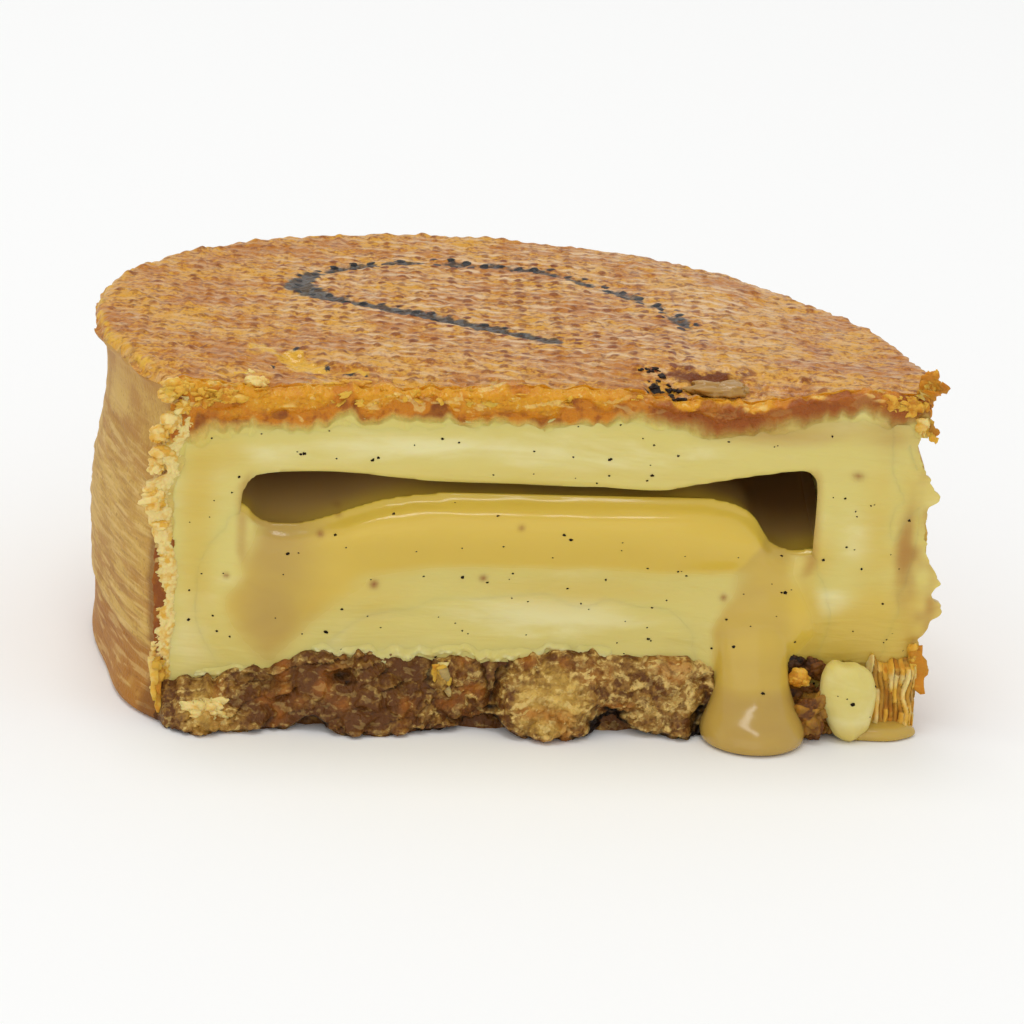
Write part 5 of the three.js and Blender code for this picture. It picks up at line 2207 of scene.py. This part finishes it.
@dataclass
class CutEnds:
    """Soaked pastry at both ends of the cut: a granular fringe on the left, saw teeth on the right."""

    form: TartForm
    step: float = 0.16
    depth: float = 1.4
    fringe_inner: float = -38.5
    teeth_inner: float = 40.6
    teeth_depth: float = 1.3
    stack_left: float = 43.3
    stack_right: float = 49.4
    stack_height: float = 9.0
    stack_foot: float = 0.7
    sheet_pitch: float = 0.62
    fringe_line: tuple = (
        (-0.7, -40.6), (2.1, -41.6), (7.1, -41.6), (9.6, -41.1), (14.6, -40.9), (19.5, -41.0),
        (22.6, -41.6), (24.5, -42.0), (27.4, -43.0), (29.5, -41.4), (30.6, -40.2), (32.7, -42.0),
        (34.4, -39.8), (37, -38.8), (39, -38.8), (41.3, -40.2),
    )
    teeth_line: tuple = (
        (5.0, 49.2), (8.4, 49.2), (10.2, 49.9), (11.1, 49.4), (12.7, 50.3), (13.8, 50.8),
        (15.0, 52.0), (15.9, 51.6), (16.6, 50.9), (17.4, 50.5), (18.4, 51.4), (19.4, 50.9),
        (20.8, 50.2), (22.8, 49.4), (26.2, 49.1), (27.9, 49.4), (29.0, 50.5), (31.3, 49.2),
        (33.0, 48.3), (35.2, 47.4), (37.4, 47.5),
    )

    def fringe(self) -> None:
        """The left fringe: a strip of fine grains between the custard and a jagged outer line."""
        z = np.arange(0.3, 39.6, self.step)[:, None]
        share = np.linspace(0, 1, 34)[None]
        ragged = 0.5 * np.abs(noise(z / 0.45, 0 * z, 131)) + 0.3 * noise(z / 1.3, 0 * z, 132)
        outer = along_path(z, self.fringe_line) - ragged - 0.1
        inner = self.fringe_inner + 0.4 * noise(z / 3, 0 * z, 133) + 1.6 * rise(z, 30, 37)
        x = inner + (outer - inner) * share
        z = z + 0 * x
        grains, own = crumbs(x / 0.55, z / 0.45, 0.5, 134)
        grains = grains * (0.2 + 0.8 * own)
        chunks, chunk = crumbs(x / 1.5, z / 1.2, 0.6, 137)
        chunks = chunks * chunk
        sheets = noise(x / 0.35, z / 9, 135) * rise(-z, -12, -6)
        edge = 0.5 * share**4 + 1.0 * (1 - rise(share, 0, 0.7)) ** 2
        y = -self.form.cut_ahead - 0.25 - 0.22 * grains - 0.2 * chunks - 0.4 * sheets + 0.9 * edge
        tone = 0.74 + 0.35 * own - 0.2 * (1 - grains) - 0.25 * rise(-z, -9, -5)
        dark = 0.35 * rise(-z, -9, -4) * (0.5 + 0.5 * noise(x / 0.5, z / 6, 136)) + 0.3 * (own < 0.15)
        marks, behind = {"tone": tone, "dark": dark}, {"tone": 0.5, "dark": 0.2}
        back = -self.form.cut_ahead + self.depth
        slab_piece("left_fringe", (x, y, z), back, FlakeFinish().material(), marks, behind)

    def stack(self) -> None:
        """The layers that stand upright at the right foot: thin sheets, each with its own reach."""
        x = np.arange(self.stack_left, self.stack_right, 0.11)[None]
        t = np.linspace(0, 1, 44)[:, None]
        top = self.stack_height + 0.8 * noise(x / 0.8, 0 * x, 145) + 0.8 * rise(x, 46, 48)
        z = self.stack_foot + t * (top - self.stack_foot)
        x = x + 0 * z
        phase = (x + 0.5 * noise(z / 2.6, x / 3, 146)) / self.sheet_pitch
        sheet = np.floor(phase)
        own = cell_values(sheet, np.floor(z / 3.4 + 0.37 * sheet), 147)
        cracks = rise(np.abs(phase - sheet - 0.5), 0.30, 0.5)
        flecks = noise(x / 0.5, z / 0.9, 195)
        ends = (1 - rise(x, 43.3, 44.1)) + rise(x, 48.6, 49.3) + rise(t, 0.85, 1) ** 2
        y = -self.form.cut_ahead - 1.5 - 0.5 * own - 0.12 * flecks + 0.35 * cracks - 0.6 * (1 - t)
        y = y + 1.2 * ends - 0.5 * noise(x / 1.8, z / 2.2, 150)
        tone = 0.20 + 0.5 * own + 0.2 * flecks + 0.2 * noise(x / 1.5, z / 2.5, 149)
        # Darker in the cracks between the sheets: painted shade.
        marks = {"tone": tone, "dark": 0.28 + 0.16 * cracks + 0.25 * (own < 0.3)}
        back = -self.form.cut_ahead + self.depth
        finish = FlakeFinish().material()
        slab_piece("upright_layers", (x, y, z), back, finish, marks, {"dark": 0.5})

    def teeth(self, custard: Custard) -> None:
        """The right edge: a smooth strip that comes out of the custard and ends in saw teeth.

        Args:
            custard: Where its stains come from, so that they run on without a break.
        """
        z = np.arange(5.0, 38.4, self.step)[:, None]
        share = np.linspace(0, 1, 40)[None]
        outer = along_path(z, self.teeth_line) + 0.25 * noise(z / 0.5, 0 * z, 141)
        x = self.teeth_inner + (outer - self.teeth_inner) * share
        z = z + 0 * x
        out = 0.65 * rise(share, 0.0, 0.8) - 0.5 * share**6 + 0.05 * noise(x / 2.4, z / 3.2, 142)
        recess = 0.2 * bump(x, 46.8, 1.2) * bump(z, 22.4, 5.5)
        y = -self.form.cut_ahead + self.form.cut_relief(x, z) + 0.45 - out + recess
        marks = custard.patches(x, z)
        back = -self.form.cut_ahead + self.teeth_depth
        finish = CustardFinish().material()
        slab_piece("edge_teeth", (x, y, z), back, finish, marks, dict.fromkeys(marks, 0.5))


@dataclass(frozen=True)
class Mass:
    """One crumbly mass: its middle, its radii, how pale and how dark it is."""

    middle: tuple[float, float, float]
    radii: tuple[float, float, float]
    tone: float
    dark: float


@dataclass
class CrumbMasses:
    """Crumbly masses of torn pastry at the corners of the cut, by the tear and on the base; one near-black
    mass beside the drip is painted shade of a hole.
    """

    masses: tuple[Mass, ...] = (
        Mass((-39.2, -22.1, 40.2), (2.0, 1.3, 1.2), 0.38, 0.05),
        Mass((-36.6, -22.3, 39.3), (2.4, 1.2, 1.3), 0.32, 0.0),
        Mass((-40.4, -22.3, 39.6), (1.2, 0.9, 0.9), 0.55, 0.0),
        Mass((-33.6, -22.4, 39.6), (1.9, 1.0, 1.0), 0.25, 0.0),
        Mass((-30.2, -21.2, 40.9), (1.5, 1.0, 0.9), 0.6, 0.0),
        Mass((-31.6, -17.6, 41.0), (1.3, 1.2, 0.6), 0.45, 0.2),
        Mass((-20.0, -20.6, 40.9), (2.4, 0.8, 0.5), 0.2, 0.1),
        Mass((-41.0, -22.5, 32.8), (1.4, 0.8, 0.8), 0.55, 0.0),
        Mass((-41.6, -22.5, 27.0), (1.6, 0.9, 1.3), 0.6, 0.0),
        Mass((-41.0, -22.5, 24.0), (1.0, 0.7, 0.7), 0.6, 0.0),
        Mass((46.2, -21.9, 40.4), (2.2, 1.2, 1.5), 0.20, 0.05),
        Mass((47.9, -22.0, 41.8), (1.2, 0.9, 2.6), 0.02, 0.15),
        Mass((47.6, -22.3, 38.2), (0.9, 0.8, 1.8), 0.45, 0.05),
        Mass((43.4, -22.3, 40.6), (2.0, 0.9, 1.1), 0.22, 0.02),
        Mass((-35.4, -26.2, 2.2), (3.0, 1.8, 2.2), 0.75, 0.0),
        Mass((48.9, -22.9, 8.6), (0.9, 0.7, 2.4), 0.3, 0.1),
        Mass((36.2, -25.8, 2.9), (2.6, 1.9, 2.9), 0.3, 0.70),
        Mass((34.9, -24.7, 7.0), (1.6, 1.0, 1.1), 0.25, 0.05),
        Mass((38.7, -24.6, 1.2), (1.5, 1.4, 1.2), 0.3, 0.70),
        Mass((37.8, -24.0, 4.8), (1.0, 0.9, 2.4), 0.3, 0.75),
        # These three stand for the dark, wet pastry beside the drip; the first, charred dark, is painted
        # shade of the hole there.
        Mass((34.0, -22.9, 8.5), (1.7, 0.9, 1.2), 0.2, 1.15),
        Mass((36.8, -22.9, 7.6), (1.7, 0.9, 1.6), 0.2, 0.80),
        Mass((35.4, -23.2, 5.0), (2.4, 0.9, 2.0), 0.2, 0.80),
        Mass((-41.2, -22.0, 34.6), (1.3, 0.9, 1.8), 0.6, 0.0),
        Mass((-41.3, -21.8, 30.8), (1.2, 0.9, 1.6), 0.65, 0.0),
        Mass((-39.9, -22.6, 36.8), (1.2, 0.8, 1.8), 0.6, 0.0),
        Mass((-38.8, -22.8, 38.2), (1.4, 0.8, 1.1), 0.45, 0.0),
    )

    def build(self) -> None:
        """Each mass is a ball whose radius swells by noise, by cells and by finer cells."""
        unit = round_surface(np.stack(ball(72, 46, 1.5), axis=-1))
        placed, tones, darks = [], [], []
        for number, mass in enumerate(self.masses):
            local = unit.points * np.array(mass.radii)
            u = local[:, 0] + 0.7 * local[:, 1] + 17.3 * number
            v = local[:, 2] + 0.5 * local[:, 1]
            chunks, own = crumbs(u / 1.3, v / 1.1, 0.45, 151)
            chunks = chunks * own
            grains, fine = crumbs(u / 0.55, v / 0.5, 0.5, 152)
            grains = grains * fine
            swell = 0.72 + 0.35 * noise(u / 1.8, v / 1.8, 153) + 0.4 * chunks + 0.16 * grains
            placed.append(np.array(mass.middle) + local * swell[:, None])
            tones.append(mass.tone + 0.3 * (fine - 0.5) + 0.25 * (own - 0.5))
            # Darker between the grains of some cells: painted shade in the crevices.
            darks.append(mass.dark + 0.35 * (1 - grains) * (own < 0.35))
        placed = np.stack(placed)
        placed[..., 2] = np.maximum(placed[..., 2], ON_TABLE)
        marks = {"tone": np.concatenate(tones), "dark": np.concatenate(darks)}
        surface = repeated(unit, placed)
        finished_piece("crumb_masses", surface, FlakeFinish().material(), marks)


@dataclass
class BurntBlister:
    """A glossy bubble of sugar and charred bits where the seam meets the cut."""

    case: PastryCase
    seed: int = 29
    count: int = 26
    centre: tuple[float, float] = (23.6, -18.9)
    radii: tuple[float, float, float] = (4.0, 2.6, 0.9)

    def char(self) -> None:
        """The charred bits, along a line that runs back from the cut."""
        random = np.random.default_rng(self.seed)
        share = random.random(self.count)
        x = 16.0 + 2.6 * share + random.normal(0, 0.7, self.count)
        y = -15.5 - 6.8 * share + random.normal(0, 0.5, self.count)
        y = np.maximum(y, -self.case.form.cut_ahead + 0.8)
        z = self.case.top_height(x, y) - 0.1
        size = random.uniform(0.15, 0.5, self.count)
        radii = np.stack([1.3 * size, size, 0.6 * size], axis=1)
        surface = pebbles(random, np.stack([x, y, z], axis=1), radii, 0.16)
        same = np.ones(len(surface.points))
        marks = {"tone": 0.2 * same, "dark": 1.3 * same}
        finished_piece("charred_bits", surface, FlakeFinish().material(), marks)

    def bubble(self) -> None:
        """The bubble: a flat ball that swells by noise, sunk into the top."""
        x, y, z = ball(64, 40, 1.45)
        swell = 1 + 0.3 * noise(2.2 * x + 5, 2.2 * y + z, 171) + 0.1 * noise(6 * x, 6 * y + z, 172)
        level = float(self.case.top_height(np.array([self.centre[0]]), np.array([self.centre[1]]))[0])
        place = [
            self.centre[0] + self.radii[0] * x * swell,
            self.centre[1] + self.radii[1] * y * swell,
            level + self.radii[2] * z * swell,
        ]
        surface = round_surface(np.stack(place, axis=-1))
        same = np.ones(len(surface.points))
        marks = {"body": same, "brown": same, "rust": 0.4 * same}
        finished_piece("sugar_bubble", surface, CaramelFinish().material(), marks)


@dataclass
class Studio:
    """The floor, the light and the camera."""

    azimuth: float = -5.5
    elevation: float = 17.5
    roll: float = 3.0
    distance: float = 420.0
    aim_height: float = 21.1
    focal_pixels: float = 3396.0
    frame_pixels: float = 1024.0
    middle: tuple[float, float] = (-16.0, -15.0)
    sensor: float = 36.0
    air: Colour = (1.0, 1.0, 0.985)
    air_strength: float = 0.73
    floor_reach: float = 3000.0
    floor_points: int = 31

    def camera(self) -> None:
        """A camera at the photograph's place: back from the aim, turned and rolled."""
        a, e, r = (math.radians(v) for v in (self.azimuth, self.elevation, self.roll))
        back = Vector((math.sin(a) * math.cos(e), -math.cos(a) * math.cos(e), math.sin(e)))
        level = Vector((math.cos(a), math.sin(a), 0.0))
        upright = back.cross(level)
        right = math.cos(r) * level + math.sin(r) * upright
        up = math.cos(r) * upright - math.sin(r) * level
        lens = bpy.data.cameras.new("photo_camera")
        lens.sensor_width = self.sensor
        lens.lens = self.sensor * self.focal_pixels / self.frame_pixels
        lens.shift_x = -self.middle[0] / self.frame_pixels
        lens.shift_y = self.middle[1] / self.frame_pixels
        lens.clip_start, lens.clip_end = 0.01, 20.0
        made = bpy.data.objects.new("photo_camera", lens)
        bpy.context.scene.collection.objects.link(made)
        place = (Vector((0, 0, self.aim_height)) + back * self.distance) * MM
        made.matrix_world = Matrix.Translation(place) @ Matrix((right, up, back)).transposed().to_4x4()
        bpy.context.scene.camera = made

    def softbox(self, name: str, place: tuple, aim: tuple, size: tuple[float, float], power: float) -> None:
        """An area light.

        Args:
            name: Its name.
            place: Where it hangs, in metres.
            aim: What it points at, in metres.
            size: The lengths of its sides, in metres.
            power: Its power in watts.
        """
        light = bpy.data.lights.new(name, "AREA")
        light.shape = "RECTANGLE"
        light.size, light.size_y = size
        light.energy = power
        made = bpy.data.objects.new(name, light)
        made.location = place
        away = Vector(place) - Vector(aim)
        made.rotation_euler = away.to_track_quat("Z", "Y").to_euler()
        bpy.context.scene.collection.objects.link(made)

    def build(self) -> None:
        """The whole studio."""
        self.camera()
        scene = bpy.context.scene
        scene.view_settings.view_transform = "Standard"
        world = bpy.data.worlds.new("studio_air")
        world.use_nodes = True
        background = world.node_tree.nodes["Background"]
        background.inputs["Color"].default_value = (*self.air, 1.0)
        background.inputs["Strength"].default_value = self.air_strength
        scene.world = world
        self.softbox("overhead_front", (-0.25, -0.30, 2.1), (0, 0, 0.03), (1.5, 0.22), 6.5)
        self.softbox("overhead_back", (-0.15, 0.75, 2.1), (0, 0, 0.03), (0.7, 0.7), 7.0)
        self.softbox("front_fill", (-0.7, -2.4, 1.1), (0, 0, 0.03), (3.0, 3.0), 12.0)
        step = np.linspace(-self.floor_reach, self.floor_reach, self.floor_points)
        gx, gy = np.meshgrid(step, step)
        flat = np.stack([gx, gy, 0 * gx], axis=-1).reshape(-1, 3)
        floor = make_object("floor", Surface(flat, grid_quads(self.floor_points, self.floor_points)))
        coat_with(floor, [FloorFinish().material()])


def main() -> None:
    """Builds the tart piece by piece and lights it."""
    logging.basicConfig(level=logging.INFO, format="%(name)s: %(message)s")
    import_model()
    form = TartForm()
    Studio().build()
    case = PastryCase(form)
    case.build()
    filling = Custard(form)
    TornCrust(case, filling).build()
    TornBase(case).build()
    custard = filling.build()
    CustardHem(case, filling).build()
    caramel = Caramel(form, filling).build()
    lump = CustardLump(form).build()
    Specks().build([custard, caramel, lump])
    Flakes(form).build()
    ends = CutEnds(form)
    ends.fringe()
    ends.stack()
    ends.teeth(filling)
    CrumbMasses().build()
    blister = BurntBlister(case)
    blister.char()
    blister.bubble()


if __name__ == "__main__":
    main()
